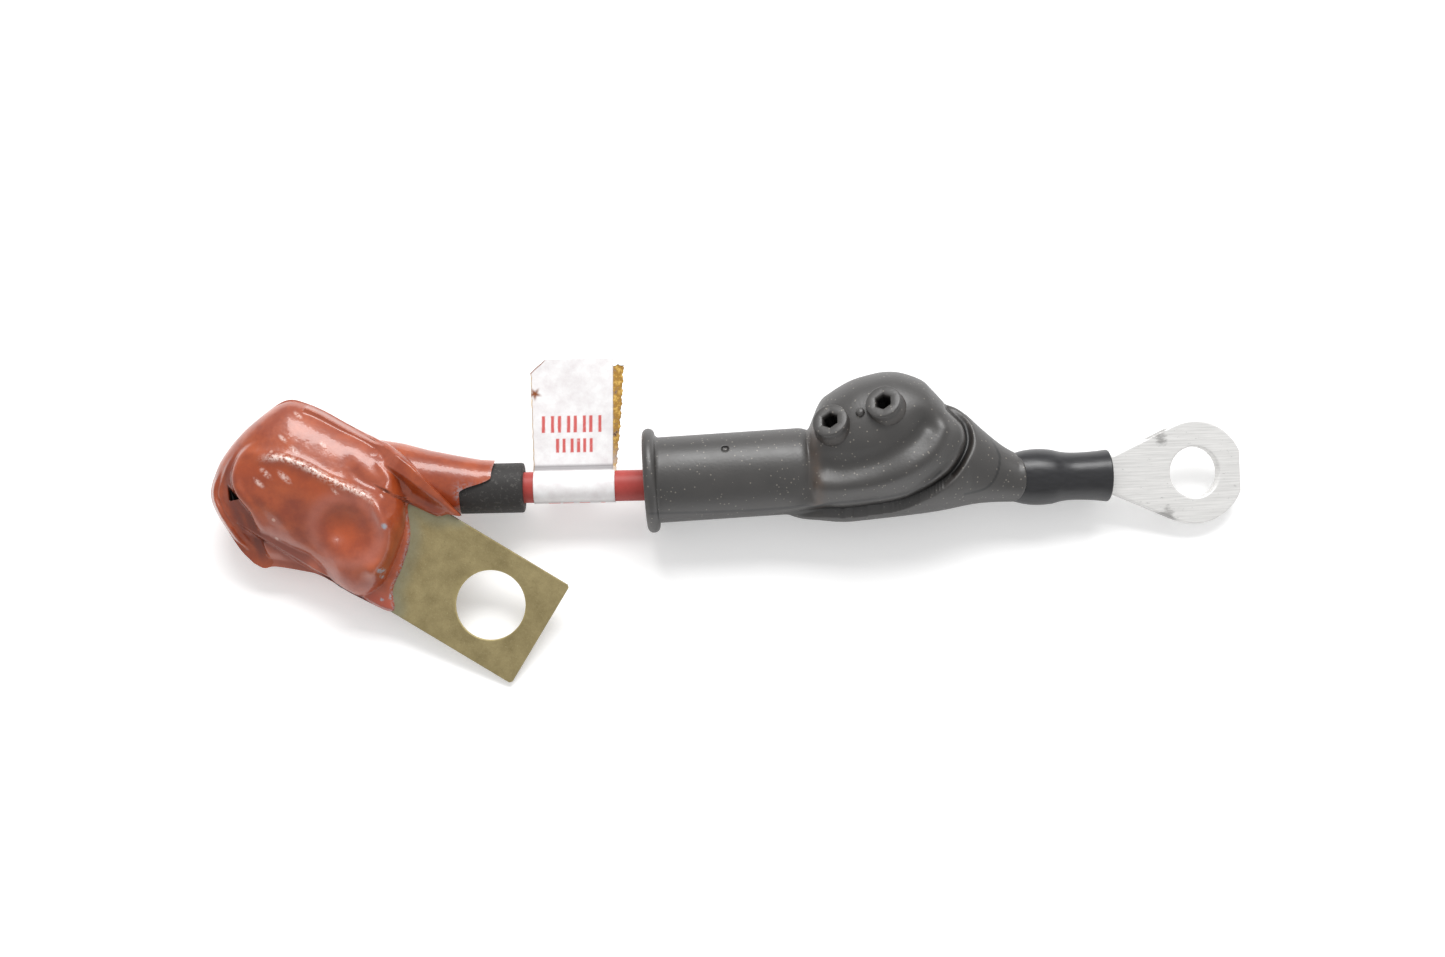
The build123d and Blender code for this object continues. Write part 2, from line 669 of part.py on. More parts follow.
with BuildPart() as rubber_boot:
    tube_run = (tube_end - tube_start) / cos(radians(boot_yaw))
    tube_plane = boot_plane(tube_start)
    with BuildSketch(tube_plane):
        Circle(tube_radius)
    extrude(amount=tube_run)
    roll_radius = flange_width / 2
    with BuildSketch(Plane(tube_plane.origin, x_dir=tube_plane.x_dir, z_dir=-tube_plane.y_dir)):
        with Locations((flange_radius - roll_radius, roll_radius)):
            Circle(roll_radius)
    revolve(axis=Axis(tube_plane.origin, tube_plane.z_dir))
    loft([full_section(mouth_u - back, *row) for back, *row in hood_sections])
    loft([round_section(mouth_u - back, *row) for back, *row in scoop_sections] + [mouth_ring])
    stud_out = along(-tan(radians(stud_lean)), tan(radians(stud_tilt)), 1)
    for back, v, w in stud_spots:
        with BuildSketch(Plane(origin=spot(mouth_u - back, v, w), z_dir=stud_out).offset(-stud_depth)):
            Circle(stud_radius)
        extrude(amount=stud_depth + stud_height)
    nub_back, nub_v, nub_w = nub_spot
    with BuildSketch(Plane(origin=spot(mouth_u - nub_back, nub_v, nub_w), z_dir=stud_out).offset(-nub_height)):
        Circle(nub_radius)
    extrude(amount=2 * nub_height)
    with BuildSketch(tube_plane):
        Circle(tube_radius - boot_wall)
    extrude(amount=tube_run, mode=Mode.SUBTRACT)
    loft([round_section(mouth_u - back, *row) for back, *row in hollow_sections] + [throat_ring], mode=Mode.SUBTRACT)
    for back, v, w in stud_spots:
        with BuildSketch(Plane(origin=spot(mouth_u - back, v, w), z_dir=stud_out).offset(stud_height)):
            RegularPolygon(stud_bore, 6)
        extrude(amount=-(stud_depth + stud_height), mode=Mode.SUBTRACT)
    dimple_side, dimple_rise = sin(radians(dimple_turn)), cos(radians(dimple_turn))
    dimple_spot = spot(
        dimple_u, boot_v + dimple_u * boot_slope + tube_radius * dimple_side, tube_radius * dimple_rise
    )
    with Locations(Plane(origin=dimple_spot, z_dir=along(0, dimple_side, dimple_rise))):
        Hole(dimple_radius, depth=dimple_depth)
    add(sleeve_form.part, mode=Mode.SUBTRACT)
rubber_boot.part.label = "rubber_boot"
export_step(rubber_boot.part, "parts/rubber_boot.step")
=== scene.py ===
import bpy
import numpy as np
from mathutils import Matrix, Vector


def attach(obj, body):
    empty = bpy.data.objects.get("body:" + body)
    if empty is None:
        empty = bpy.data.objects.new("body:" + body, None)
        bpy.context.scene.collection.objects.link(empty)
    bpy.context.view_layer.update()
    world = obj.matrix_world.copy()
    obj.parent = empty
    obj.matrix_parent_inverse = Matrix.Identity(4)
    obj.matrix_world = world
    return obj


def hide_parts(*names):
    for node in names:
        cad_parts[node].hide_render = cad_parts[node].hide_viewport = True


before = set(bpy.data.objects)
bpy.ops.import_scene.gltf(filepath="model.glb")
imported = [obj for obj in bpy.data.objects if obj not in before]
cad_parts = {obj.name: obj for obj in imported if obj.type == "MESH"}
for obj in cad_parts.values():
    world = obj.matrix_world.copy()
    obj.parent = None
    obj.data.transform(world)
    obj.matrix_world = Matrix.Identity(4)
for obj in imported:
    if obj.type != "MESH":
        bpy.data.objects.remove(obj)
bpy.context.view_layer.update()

# Dipped coat: the fuse was dipped in thick red-brown vinyl, which set as one glossy skin that runs over the
# plate and down the sleeve. It is drawn in the plate's frame, in millimetres: s along the plate, t across it.
millimetre = 0.001
roll = np.radians(20.0)
lead_x, lead_y, lead_height = -1.045, 6.824, 9.755
plate_u, plate_v = -78.0, -1.0
plate_turn = np.radians(-30.9)
dome_high, dome_power = 8.6, 2.7
back_high, back_power = 9.03, 2.4
cover_top = 4.8
skin_thick, skin_round = 1.25, 0.9
basin_s, basin_t, basin_depth = 10.4, -2.6, 2.3
hole_depth = 1.6
seal = 0.02
table_gap = 0.03
coat_rows, coat_top, coat_bottom = 240, 200, 50


def lead_points(u, v, w):
    """Points in metres from the lead's own frame in millimetres: u runs along the cable from the fuse to
    the ring, v across it and w out of the face that the flat parts share. Each point is turned by the roll
    about u, as the lead lies on the boot's flange, and shifted to the lead's place."""
    u, v, w = np.broadcast_arrays(u, v, w)
    across = lead_y + v * np.cos(roll) - w * np.sin(roll)
    up = lead_height + v * np.sin(roll) + w * np.cos(roll)
    return np.stack([lead_x + u, across, up], axis=-1) * millimetre


def plate_points(s, t, w):
    """Points in metres: s and t in millimetres are turned by the plate's angle in the lead's face."""
    u = plate_u + s * np.cos(plate_turn) - t * np.sin(plate_turn)
    v = plate_v + s * np.sin(plate_turn) + t * np.cos(plate_turn)
    return lead_points(u, v, w)


def smooth_line(points, steps=12, closed=False):
    """A line through given points: on each span, the cubic whose slope at a point is half the step between that
    point's two neighbours."""
    p = np.array(points, float)
    p = np.vstack([p[-1:], p, p[:2]]) if closed else np.vstack([2 * p[0] - p[1], p, 2 * p[-1] - p[-2]])
    k = np.linspace(0, 1, steps, endpoint=False)[:, None]
    spans = []
    for a, b, c, d in zip(p[:-3], p[1:-2], p[2:-1], p[3:]):
        bend, twist = a - 2.5 * b + 2 * c - 0.5 * d, 1.5 * (b - c) + 0.5 * (d - a)
        spans.append(b + 0.5 * k * (c - a) + k**2 * bend + k**3 * twist)
    return np.vstack(spans) if closed else np.vstack(spans + [p[-2:-1]])


def line_distance(x, y, line):
    """Shortest distance of each (x, y) from a line of straight spans: the least over all spans of how far the
    nearest point of that span is."""
    best = np.full(np.shape(x), np.inf)
    for (ax, ay), (dx, dy) in zip(line[:-1], np.diff(line, axis=0)):
        k = np.clip(((x - ax) * dx + (y - ay) * dy) / (dx * dx + dy * dy + 1e-12), 0, 1)
        best = np.minimum(best, np.hypot(x - ax - k * dx, y - ay - k * dy))
    return best


def ease(x, low, high):
    """Runs smoothly from 0 at low to 1 at high: the cubic 3k^2 - 2k^3."""
    k = np.clip((x - low) / (high - low), 0, 1)
    return k * k * (3 - 2 * k)


def between(x, low, full, still, gone):
    """Rises from 0 at low to 1 at full and falls from 1 at still to 0 when gone, each by the same cubic."""
    return ease(x, low, full) * (1 - ease(x, still, gone))


def bump(distance, width):
    """A bell: 1 on the line, falling away over the width as e to the minus square."""
    return np.exp(-((distance / width) ** 2))


def blend_max(a, b, soft):
    """The larger of two, with the corner between them rounded over a height."""
    k = np.clip(0.5 + 0.5 * (a - b) / soft, 0, 1)
    return b * (1 - k) + a * k + soft * k * (1 - k)


def spread(count):
    """Shares from 0 to 1 that crowd towards both ends, as the cosine of even steps does."""
    return (1 - np.cos(np.pi * np.linspace(0, 1, count))) / 2


left_side = smooth_line((
    (-2.3, -17.7), (-5.5, -16.9), (-9.0, -15.3), (-13.0, -13.2), (-16.1, -10.5), (-17.3, -6.0),
    (-17.4, -0.7), (-15.9, 5.3), (-14.0, 10.2), (-12.3, 12.4), (-9.7, 13.3), (-5.6, 13.9), (1.0, 14.1),
    (5.7, 14.5), (8.0, 14.9),
))
right_side = smooth_line((
    (-2.3, -17.7), (-0.2, -17.5), (1.6, -16.1), (6.6, -14.1), (9.6, -13.2), (15.2, -12.7), (24.9, -11.9),
    (23.1, -8.0), (22.5, -4.0), (21.7, -0.3), (20.9, 1.9), (19.7, 3.8), (17.4, 6.9), (18.9, 7.4),
    (23.0, 7.9), (24.7, 9.3), (26.9, 10.3), (24.4, 11.0), (21.7, 11.8), (17.8, 12.9), (14.3, 14.1),
    (11.6, 14.7), (8.0, 14.9),
))
coat_outline = np.vstack([left_side, right_side[::-1]])
dome_middle = (1.5, -1.5)
dome_outline = smooth_line((
    (20.8, -4.0), (20.9, -9.0), (18.0, -12.9), (9.6, -13.2), (1.6, -16.1), (-2.3, -17.7), (-9.0, -15.3),
    (-16.6, -10.6), (-17.4, -0.7), (-14.0, 10.2), (-9.7, 13.3), (-1.1, 14.0), (5.7, 14.5), (12.0, 13.0),
    (16.0, 8.0), (19.2, 3.0),
), closed=True)
fold_rim = smooth_line((
    (-11.6, 4.2), (-12.6, 2.2), (-13.4, 0.7), (-13.8, -1.2), (-13.5, -3.4), (-12.7, -5.3), (-11.1, -6.8),
    (-9.2, -7.8), (-7.8, -8.3), (-6.5, -9.0), (-5.2, -10.2), (-4.0, -11.4), (-2.6, -13.0), (-1.0, -14.4),
    (0.8, -15.6),
))
brow = smooth_line((
    (-19.0, -4.5), (-15.0, -1.6), (-10.4, 1.3), (-6.5, 3.0), (-1.9, 3.9), (3.1, 4.2), (10.0, 5.2),
    (22.0, 7.0),
))
main_ridge = smooth_line((
    (-12.8, -0.6), (-11.9, 0.4), (-10.4, 0.8), (-8.5, 1.9), (-6.5, 3.0), (-4.3, 3.6), (-1.9, 3.9), (3.1, 4.1),
    (7.2, 4.6), (10.6, 5.0), (12.6, 4.6), (14.4, 3.6), (16.1, 2.5), (17.8, 0.8), (18.8, -1.4), (19.2, -3.7),
    (18.9, -6.5),
))
shoulder = smooth_line(((6.6, 11.6), (8.3, 11.4), (10.2, 10.8), (11.7, 10.1), (12.7, 9.2), (13.1, 7.6)))
shoulder_groove = smooth_line(((2.6, 9.2), (4.8, 7.6), (7.6, 6.7), (10.8, 6.6)))
lower_roll = smooth_line(((-7.0, -5.6), (-2.0, -6.8), (3.0, -9.2), (9.0, -10.0)))
lower_valley = smooth_line(((-3.4, -12.2), (-1.4, -12.3), (0.5, -12.1), (2.7, -12.3), (5.7, -12.0)))
left_pleat = smooth_line(((-11.4, -9.0), (-9.4, -10.8), (-7.2, -12.4)))
# Each spot is (s, t, size): where the skin is torn off the grey metal, and where its top is scuffed pale.
bare_spots = ((16.4, 1.9, 0.8), (19.9, -5.6, 0.9), (20.5, -6.7, 0.5), (23.6, -9.3, 0.8), (22.4, -10.7, 0.5))
scuff_spots = ((-7.7, -1.1, 0.8), (-4.3, 0.1, 0.9), (-7.9, -3.3, 0.7), (-8.8, 10.9, 0.6), (-8.5, 5.9, 0.6),
               (-5.5, 5.3, 0.7), (5.2, 2.6, 0.5), (-1.5, 8.8, 0.5))


def dome_reach(s, t):
    """How far out each point is from the body's middle, as a share of the body's outline in that
    direction."""
    ring = dome_outline - dome_middle
    angle, reach = np.arctan2(ring[:, 1], ring[:, 0]), np.hypot(ring[:, 0], ring[:, 1])
    order = np.argsort(angle)
    from_s, from_t = s - dome_middle[0], t - dome_middle[1]
    reach = np.interp(np.arctan2(from_t, from_s), angle[order], reach[order], period=2 * np.pi)
    return np.hypot(from_s, from_t) / reach


def beyond_fold(s, t):
    """Signed distance past the fold's rim: positive on the outer side, where the skin is folded under."""
    return line_distance(s, t, fold_rim) * np.sign(np.interp(t, fold_rim[::-1, 1], fold_rim[::-1, 0]) - s)


def hole_gap(s, t):
    """How far outside the torn three-cornered hole each point is: the furthest of its three sides, negative
    inside."""
    sides = ((0.25, 0.968, -10.295), (0.682, -0.731, -1.111), (-0.809, -0.588, 14.991))
    return np.maximum.reduce([a * s + b * t - c for a, b, c in sides])


def parting(s):
    """The coat's parting level, which rises by the smooth cubic to the plate's middle as the body thins
    out."""
    return 1.5 + 2.4 * ease(s, 8.0, 18.0)


def coat_height(s, t):
    """Height of the coat's upper skin above its parting level: a domed body with flattened top, tilted
    behind its brow, plus the ridges, folds and hollows that the skin set with, each a bell across its own
    line. Past the fold's rim the dome gives way to a low shelf with a raised lip, and the fin along the
    neck is the higher of the two."""
    dome = dome_high * np.clip(1 - dome_reach(s, t) ** dome_power, 0, 1) ** (1 / dome_power)
    behind = t - np.interp(s, *brow.T)
    dome -= 0.17 * np.where(behind > 0, np.sqrt(behind**2 + 0.9) - 0.95, 0)
    dome -= 0.55 * ease(behind, -0.1, 1.1) * between(s, -14.0, -7.0, 7.0, 13.0)
    dome -= 0.13 * np.maximum(-behind, 0) * between(s, -12.0, -4.0, 6.0, 14.0)
    dome -= 0.25 * np.maximum(-5.0 - t, 0) * ease(-t, 4.0, 9.0) * ease(s, -8.0, -2.0)
    ridge_off = line_distance(s, t, main_ridge)
    dome += 0.42 * bump(ridge_off, 1.25) * ease(s, -13.0, -9.0)
    dome += 1.1 * bump(ridge_off, 1.5) * ease(s, 9.0, 15.0)
    dome -= basin_depth * np.exp(-((((s - basin_s) / 4.6) ** 2) + ((t - basin_t) / 3.9) ** 2) ** 1.3)
    dome -= 0.8 * bump(line_distance(s, t, shoulder_groove), 1.5) * ease(s, 2.0, 7.0)
    dome += 0.6 * bump(line_distance(s, t, shoulder), 1.0) * ease(s, 6.5, 9.5)
    dome -= 1.1 * bump(line_distance(s, t, lower_valley), 1.5)
    dome += 0.35 * bump(line_distance(s, t, lower_roll), 1.5)
    edge = line_distance(s, t, coat_outline)
    past = beyond_fold(s, t)
    folded = ease(past, -0.1, 0.9) * (1 - ease(s, -1.5, 1.0))
    drop = np.interp(t, (-15.5, -13.5, -10.5, -7.5, -4.5, -1.0, 3.5), (0.8, 2.2, 3.0, 2.7, 1.6, 1.1, 0.0))
    lip = 0.9 * bump(edge - 1.1, 0.6) * ease(-t, 5.0, 9.0) + 0.3 * bump(edge - 2.3, 0.4) * ease(-t, 0.0, 5.0)
    dome += 0.35 * bump(past + 0.8, 0.7) * (1 - ease(t, -1.0, 3.0)) * (1 - ease(s, -4.0, 0.0))
    on_plate = ease(s, -9.8, -8.4) * ease(t, -13.4, -12.2) * ease(edge, 0.0, 0.9)
    dome = np.maximum(blend_max(dome - folded * (drop - lip), (cover_top - parting(s)) * on_plate, 0.35), 0)
    fin_s = (4.0, 9.0, 14.3, 21.7, 26.9)
    crest = np.interp(s, fin_s, (12.6, 12.9, 12.6, 11.4, 10.4))
    half = np.interp(s, fin_s, (1.2, 1.5, 1.2, 0.6, 0.1))
    tall = np.interp(s, (4.0, 8.0, 11.0, 14.3, 21.7, 26.9), (0.0, 4.0, 5.5, 4.9, 3.1, 1.2))
    fin = tall * (1 - ease(np.abs(t - crest) - half, -0.3, 2.6))
    skin = skin_thick * np.sqrt(1 - (1 - np.clip(edge / skin_round, 0, 1)) ** 2) * ease(s, 8.0, 16.0)
    return blend_max(blend_max(dome, fin, 1.3), skin, 0.5) * np.clip(edge / seal, 0, 1)


def coat_fields(s, t):
    """What the vinyl's colour follows, each from 0 to 1: a deeper orange painted where the skin faces away from
    the light, a pink sheen painted in bands along the ridges, the lower side and over the top, painted shade
    where it is folded under and in its valleys, pleat and round the basin, painted black shade in the hole, a
    painted highlight along the main ridge, and pale where it is scuffed or torn. Each is a bell or a smooth step
    of the distance from the line or spot that it belongs to."""
    past, edge = beyond_fold(s, t), line_distance(s, t, coat_outline)
    ridge_off = line_distance(s, t, main_ridge)
    tint_s, tint_t = s - 10.6, t - basin_t
    from_basin = np.hypot(tint_s / 6.6, tint_t / 6.0)
    in_basin = np.exp(-((tint_s / 4.2) ** 2) - (tint_t / 3.6) ** 2)
    before_ridge = t < np.interp(s, (-13.0, -6.5, 3.1, 11.5, 19.0), (0.0, 3.0, 4.1, 5.0, -3.0))
    under_fold = between(past, 0.1, 0.6, 1.6, 2.6) * (1 - ease(t, -4.0, 1.0)) * (1 - ease(s, -2.5, 0.5))
    peel = 0.5 * ease(s, 15.0, 18.0) * (1 - ease(edge, 0.25, 0.8)) * (1 - ease(t, 5.0, 6.5))
    for spot_s, spot_t, size in bare_spots:
        peel = np.maximum(peel, 1 - ease(np.hypot(s - spot_s, t - spot_t), 0.35 * size, size))
    # Painted highlight: a near-white streak along the main ridge's crest, where the soft box glints; the scuff
    # spots added to it are pale scuffs.
    streak = bump(ridge_off, 0.6) * between(s, -11.0, -7.0, 9.0, 14.0)
    for spot_s, spot_t, size in scuff_spots:
        slanting = np.hypot((s - spot_s + t - spot_t) * 0.45, t - spot_t)
        streak = np.maximum(streak, 0.6 - 0.6 * ease(slanting, 0.2 * size, size))
    return {
        # Painted shade: deeper orange in the basin and below the main ridge, where the skin faces away from the
        # light and shows no sheen.
        "unsheened_orange": np.maximum(
            0.8 * in_basin, 0.9 * bump(ridge_off - 2.6, 1.7) * before_ridge * (1 - ease(s, 4.0, 9.0))),
        # Painted sheen: pink where the skin reflects the white room, round the basin, along the lower side and
        # over the top.
        "pink_sheen": np.maximum.reduce([
            0.9 * bump(from_basin - 1.0, 0.22), 0.8 * ease(-t, 7.0, 11.0) * (past < 0),
            0.3 * ease(t, 3.5, 7.0) * (s < 12.0)]),
        # Painted shade: near black under the fold, in the lower valley and the pleat, and darker round the basin
        # and below the middle.
        "dark": np.maximum.reduce([
            0.7 * under_fold, 0.75 * bump(line_distance(s, t, lower_valley), 1.4),
            0.4 * np.exp(-(((s - 1.5) / 4.5) ** 2) - ((t + 3.6) / 2.2) ** 2),
            0.22 * bump(from_basin - 0.72, 0.1) * (1 - ease(s, 9.0, 14.0)),
            0.9 * bump(line_distance(s, t, left_pleat), 0.9)]),
        "red": ease(s, 18.5, 20.5) * (1 - ease(t, -11.0, -9.0)),
        # Painted shade: black inside the torn hole.
        "hole_shade": 1 - ease(hole_gap(s, t), -0.15, 0.2),
        "peel": peel,
        "streak": streak,
    }


t_rows = left_side[0, 1] + (left_side[-1, 1] - left_side[0, 1]) * spread(coat_rows)[:, None]
s_left = np.interp(t_rows, left_side[:, 1], left_side[:, 0])
s_right = np.interp(t_rows, np.maximum.accumulate(right_side[:, 1]), right_side[:, 0])
run = np.concatenate([spread(coat_top), spread(coat_bottom)[::-1][1:-1]])[None, :]
s_grid = s_left + (s_right - s_left) * run
t_grid = np.broadcast_to(t_rows, s_grid.shape)
over = np.arange(run.size) < coat_top
back = back_high * np.clip(1 - dome_reach(s_grid, t_grid) ** back_power, 0, 1) ** (1 / back_power)
under = np.maximum(back, 1.2 * ease(s_grid, 8.0, 16.0))
under *= np.clip(line_distance(s_grid, t_grid, coat_outline) / seal, 0, 1)
rise = np.where(over, coat_height(s_grid, t_grid), -under)
body = plate_points(s_grid, t_grid, parting(s_grid) + rise)
body[..., 2] = np.maximum(body[..., 2], table_gap * millimetre)
body[..., 2] -= hole_depth * millimetre * ease(-hole_gap(s_grid, t_grid), -0.2, 0.4) * over

# The neck is an oval tube along the sleeve, torn back on one side. Its ovals follow the values at these
# places.
neck_turns, neck_rows = 96, 60
turn = np.linspace(0, 2 * np.pi, neck_turns, endpoint=False)[None, :]
neck_u = (-74.0, -66.0, -61.0, -56.0, -50.3, -46.5, -42.0)
neck_end = -43.7 - 0.4 * ease(turn, 0.3, 1.2) - 5.9 * between(turn, 1.2, 1.85, 4.0, 6.0)
along = spread(neck_rows)[:, None]
u_grid = neck_u[0] + (neck_end - neck_u[0]) * along
v_mid = np.interp(u_grid, neck_u, (1.6, 1.4, 1.2, 0.4, -0.2, -0.5, -0.6))
v_half = np.interp(u_grid, neck_u, (8.8, 7.1, 6.5, 6.0, 5.5, 5.15, 5.0))
w_mid = np.interp(u_grid, neck_u, (1.2, 0.6, 0.0, -0.6, -0.9, -1.0, -1.0))
w_half = np.interp(u_grid, neck_u, (7.4, 6.6, 6.1, 5.7, 5.4, 5.2, 5.0))
neck = lead_points(u_grid, v_mid + v_half * np.cos(turn), w_mid + w_half * np.sin(turn))
peeled = 0.7 * ease(u_grid, -51.5, -50.0) * bump(turn - 1.9, 0.35)
neck_fields = {
    "unsheened_orange": 0.5 * ease(u_grid, -52.0, -47.0), "pink_sheen": 0.0, "dark": 0.0, "red": 0.0, "hole_shade": 0.0,
    "peel": np.maximum(peeled, 0.3 * ease(along, 0.97, 1.0)), "streak": 0.0,
}


def linear(code):
    """Linear light from an sRGB hex colour: each channel is divided by 255 and its sRGB curve is undone."""
    channel = np.array([int(code[i:i + 2], 16) for i in (0, 2, 4)]) / 255
    light = np.where(channel <= 0.04045, channel / 12.92, ((channel + 0.055) / 1.055) ** 2.4)
    return (*light.tolist(), 1.0)


def repeats(size):
    """How often a pattern of that size in millimetres comes in a metre, which is the scale of its texture."""
    return 1 / (size * millimetre)


def add_node(tree, kind, inputs, **settings):
    """Adds one shader node, sets its options, and fills its inputs: a socket is linked and anything else is
    a value. Mix takes its share at 0 and its colours at 6 and 7, and Map Range the range that comes in at 1
    and 2 and the one that goes out at 3 and 4."""
    node = tree.nodes.new("ShaderNode" + kind)
    for key, value in settings.items():
        setattr(node, key, value)
    for key, value in inputs.items():
        if isinstance(value, bpy.types.NodeSocket):
            tree.links.new(value, node.inputs[key])
        else:
            node.inputs[key].default_value = value
    return node


def new_material(name, color, roughness, **inputs):
    """A material with one Principled shader: returns it with its tree and that shader, for nodes to be
    linked."""
    material = bpy.data.materials.new(name)
    material.use_nodes = True
    shader = material.node_tree.nodes["Principled BSDF"]
    for key, value in {"Base Color": color, "Roughness": roughness, **inputs}.items():
        shader.inputs[key.replace("_", " ")].default_value = value
    return material, material.node_tree, shader


# Vinyl cures from the dip glossy and a little wavy, orange-brown, and scuffed pale along its tops. Painted light
# and shade lie on that colour: a deeper orange where the skin faces away from the light, a pink sheen painted
# along the ridges and the lower side where the white room reflects, painted shade nearly black in its folds and
# the torn hole, and a painted highlight along the main ridge.
vinyl, tree, shader = new_material("dipped vinyl", linear("A0451F"), 0.36, Coat_Weight=0.6, Coat_Roughness=0.12)
place = add_node(tree, "TexCoord", {}).outputs["Object"]
cloud = add_node(tree, "TexNoise", {"Vector": place, "Scale": repeats(4.167), "Detail": 5.0, "Roughness": 0.6})
cloud = cloud.outputs[0]
fine = add_node(tree, "TexNoise", {"Vector": place, "Scale": repeats(0.6667), "Detail": 4.0, "Roughness": 0.7})
fine = fine.outputs[0]
share = add_node(tree, "MapRange", {"Value": cloud, 1: 0.36, 2: 0.66}).outputs[0]
tone = add_node(tree, "Mix", {0: share, 6: linear("8E3816"), 7: linear("AC4E22")}, data_type="RGBA").outputs[2]
# Tints over the vinyl's tone: the unsheened orange, pink sheen, dark and streak are painted light and shade, the
# streak with real scuffs in it.
tints = (
    ("unsheened_orange", "A84410", cloud, (0.30, 0.62, 0.48, 0.8)), ("pink_sheen", "BA7060", cloud, (0.30, 0.62, 0.36, 0.6)),
    ("dark", "5A2420", cloud, (0.30, 0.62, 0.48, 0.8)), ("red", "A83418", cloud, (0.30, 0.62, 0.30, 0.5)),
    ("streak", "FBE2D8", fine, (0.40, 0.58, 0.0, 1.0)), ("peel", "9C9EA6", fine, (0.42, 0.56, 0.0, 1.0)),
)
for field, color, pattern, limits in tints:
    reach = add_node(tree, "Attribute", {}, attribute_name=field).outputs["Fac"]
    uneven = add_node(tree, "MapRange", {"Value": pattern, **dict(zip((1, 2, 3, 4), limits))}).outputs[0]
    amount = add_node(tree, "Math", {0: reach, 1: uneven}, operation="MULTIPLY").outputs[0]
    tone = add_node(tree, "Mix", {0: amount, 6: tone, 7: linear(color)}, data_type="RGBA").outputs[2]
speck = add_node(tree, "TexVoronoi", {"Vector": place, "Scale": repeats(3.03)})
near = add_node(tree, "MapRange", {"Value": speck.outputs["Distance"], 1: 0.16, 2: 0.09, 4: 0.55}).outputs[0]
rare = add_node(tree, "SeparateColor", {"Color": speck.outputs["Color"]}).outputs[0]
chosen = add_node(tree, "Math", {0: rare, 1: 0.86}, operation="GREATER_THAN").outputs[0]
dotted = add_node(tree, "Math", {0: near, 1: chosen}, operation="MULTIPLY").outputs[0]
# Painted shade: the torn hole is painted nearly black and its gloss taken away.
hole_shade = add_node(tree, "Attribute", {}, attribute_name="hole_shade").outputs["Fac"]
for amount, color in ((dotted, "E0B8A8"), (hole_shade, "0A0505")):
    tone = add_node(tree, "Mix", {0: amount, 6: tone, 7: linear(color)}, data_type="RGBA").outputs[2]
tree.links.new(tone, shader.inputs["Base Color"])
gloss = add_node(tree, "MapRange", {"Value": hole_shade, 3: 0.6, 4: 0.0}).outputs[0]
tree.links.new(gloss, shader.inputs["Coat Weight"])
waves = add_node(tree, "TexNoise", {"Vector": place, "Scale": repeats(3.03), "Detail": 3.0, "Roughness": 0.55})
wavy = add_node(tree, "Bump", {"Height": waves.outputs[0], "Strength": 0.5, "Distance": 0.22 * millimetre})
tree.links.new(wavy.outputs[0], shader.inputs["Normal"])
tree.links.new(wavy.outputs[0], shader.inputs["Coat Normal"])


def turned(points, fields, rows_closed):
    """The same skin with its columns in the other order, so that its faces point the other way."""
    return points[:, ::-1], {k: x[:, ::-1] if np.ndim(x) else x for k, x in fields.items()}, rows_closed


def make_piece(name, skins, material):
    """One mesh from several skins, which stands for the node of that name. Each skin is (points, fields,
    rows_closed): rows x columns x 3 points whose columns close on themselves, and numbers for each point that
    the material reads."""
    points, faces, values, start = [], [], {}, 0
    for grid, fields, rows_closed in skins:
        rows, columns = grid.shape[:2]
        index = start + np.arange(rows * columns).reshape(rows, columns)
        below = np.roll(index, -1, axis=0) if rows_closed else index[1:]
        above = index if rows_closed else index[:-1]
        quads = [above, np.roll(above, -1, axis=1), np.roll(below, -1, axis=1), below]
        faces.append(np.stack([q.ravel() for q in quads], axis=1))
        points.append(grid.reshape(-1, 3))
        for key, value in fields.items():
            values.setdefault(key, []).append(np.broadcast_to(value, (rows, columns)).ravel())
        start += rows * columns
    points, faces = np.vstack(points), np.vstack(faces)
    mesh = bpy.data.meshes.new(name)
    mesh.from_pydata(points, [], faces.tolist())
    for key, value in values.items():
        field = mesh.attributes.new(key, "FLOAT", "POINT")
        field.data.foreach_set("value", np.concatenate(value).astype(np.float32))
    mesh.polygons.foreach_set("use_smooth", [True] * len(mesh.polygons))
    mesh.materials.append(material)
    piece = bpy.data.objects.new(name, mesh)
    bpy.context.scene.collection.objects.link(piece)
    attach(piece, "root")
    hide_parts(name)


coat_skins = [turned(body, coat_fields(s_grid, t_grid), False), turned(neck, neck_fields, False)]
make_piece("dip_coat", coat_skins, vinyl)


# Rubber boot: one dull black moulding pushed over the lug's fixing. A rolled flange and a tube run into a
# swollen hood with two hollow studs and a pin nub; a deep fold parts the hood from the scoop, which narrows
# to grip the sleeve. Its outlines are (u, v) points seen from above, and the deep lines are (u, half
# height).
tube_start, tube_end, tube_radius, tube_bore = -15.2, 13.5, 8.15, 6.35
tube_v, tube_slope = 1.58, 0.0664
flange_radius, flange_half = 9.95, 1.18
mouth_u, mouth_wall = 54.6, 0.75
far_off = 20.0
hollow_depth, hollow_width = 1.7, 2.3
roll_height, roll_width = 0.6, 1.7
fold_depth, fold_width = 2.2, 0.75
dimple_spot, dimple_depth = (0.0, 6.6, 6.4), 0.6
stud_spots = ((19.3, 11.9, 10.7), (29.0, 15.3, 12.2))
nub_spot = (25.0, 13.2, 10.6)
stud_axis = np.array([-0.33, 0.472, 0.818])
boot_columns = 280

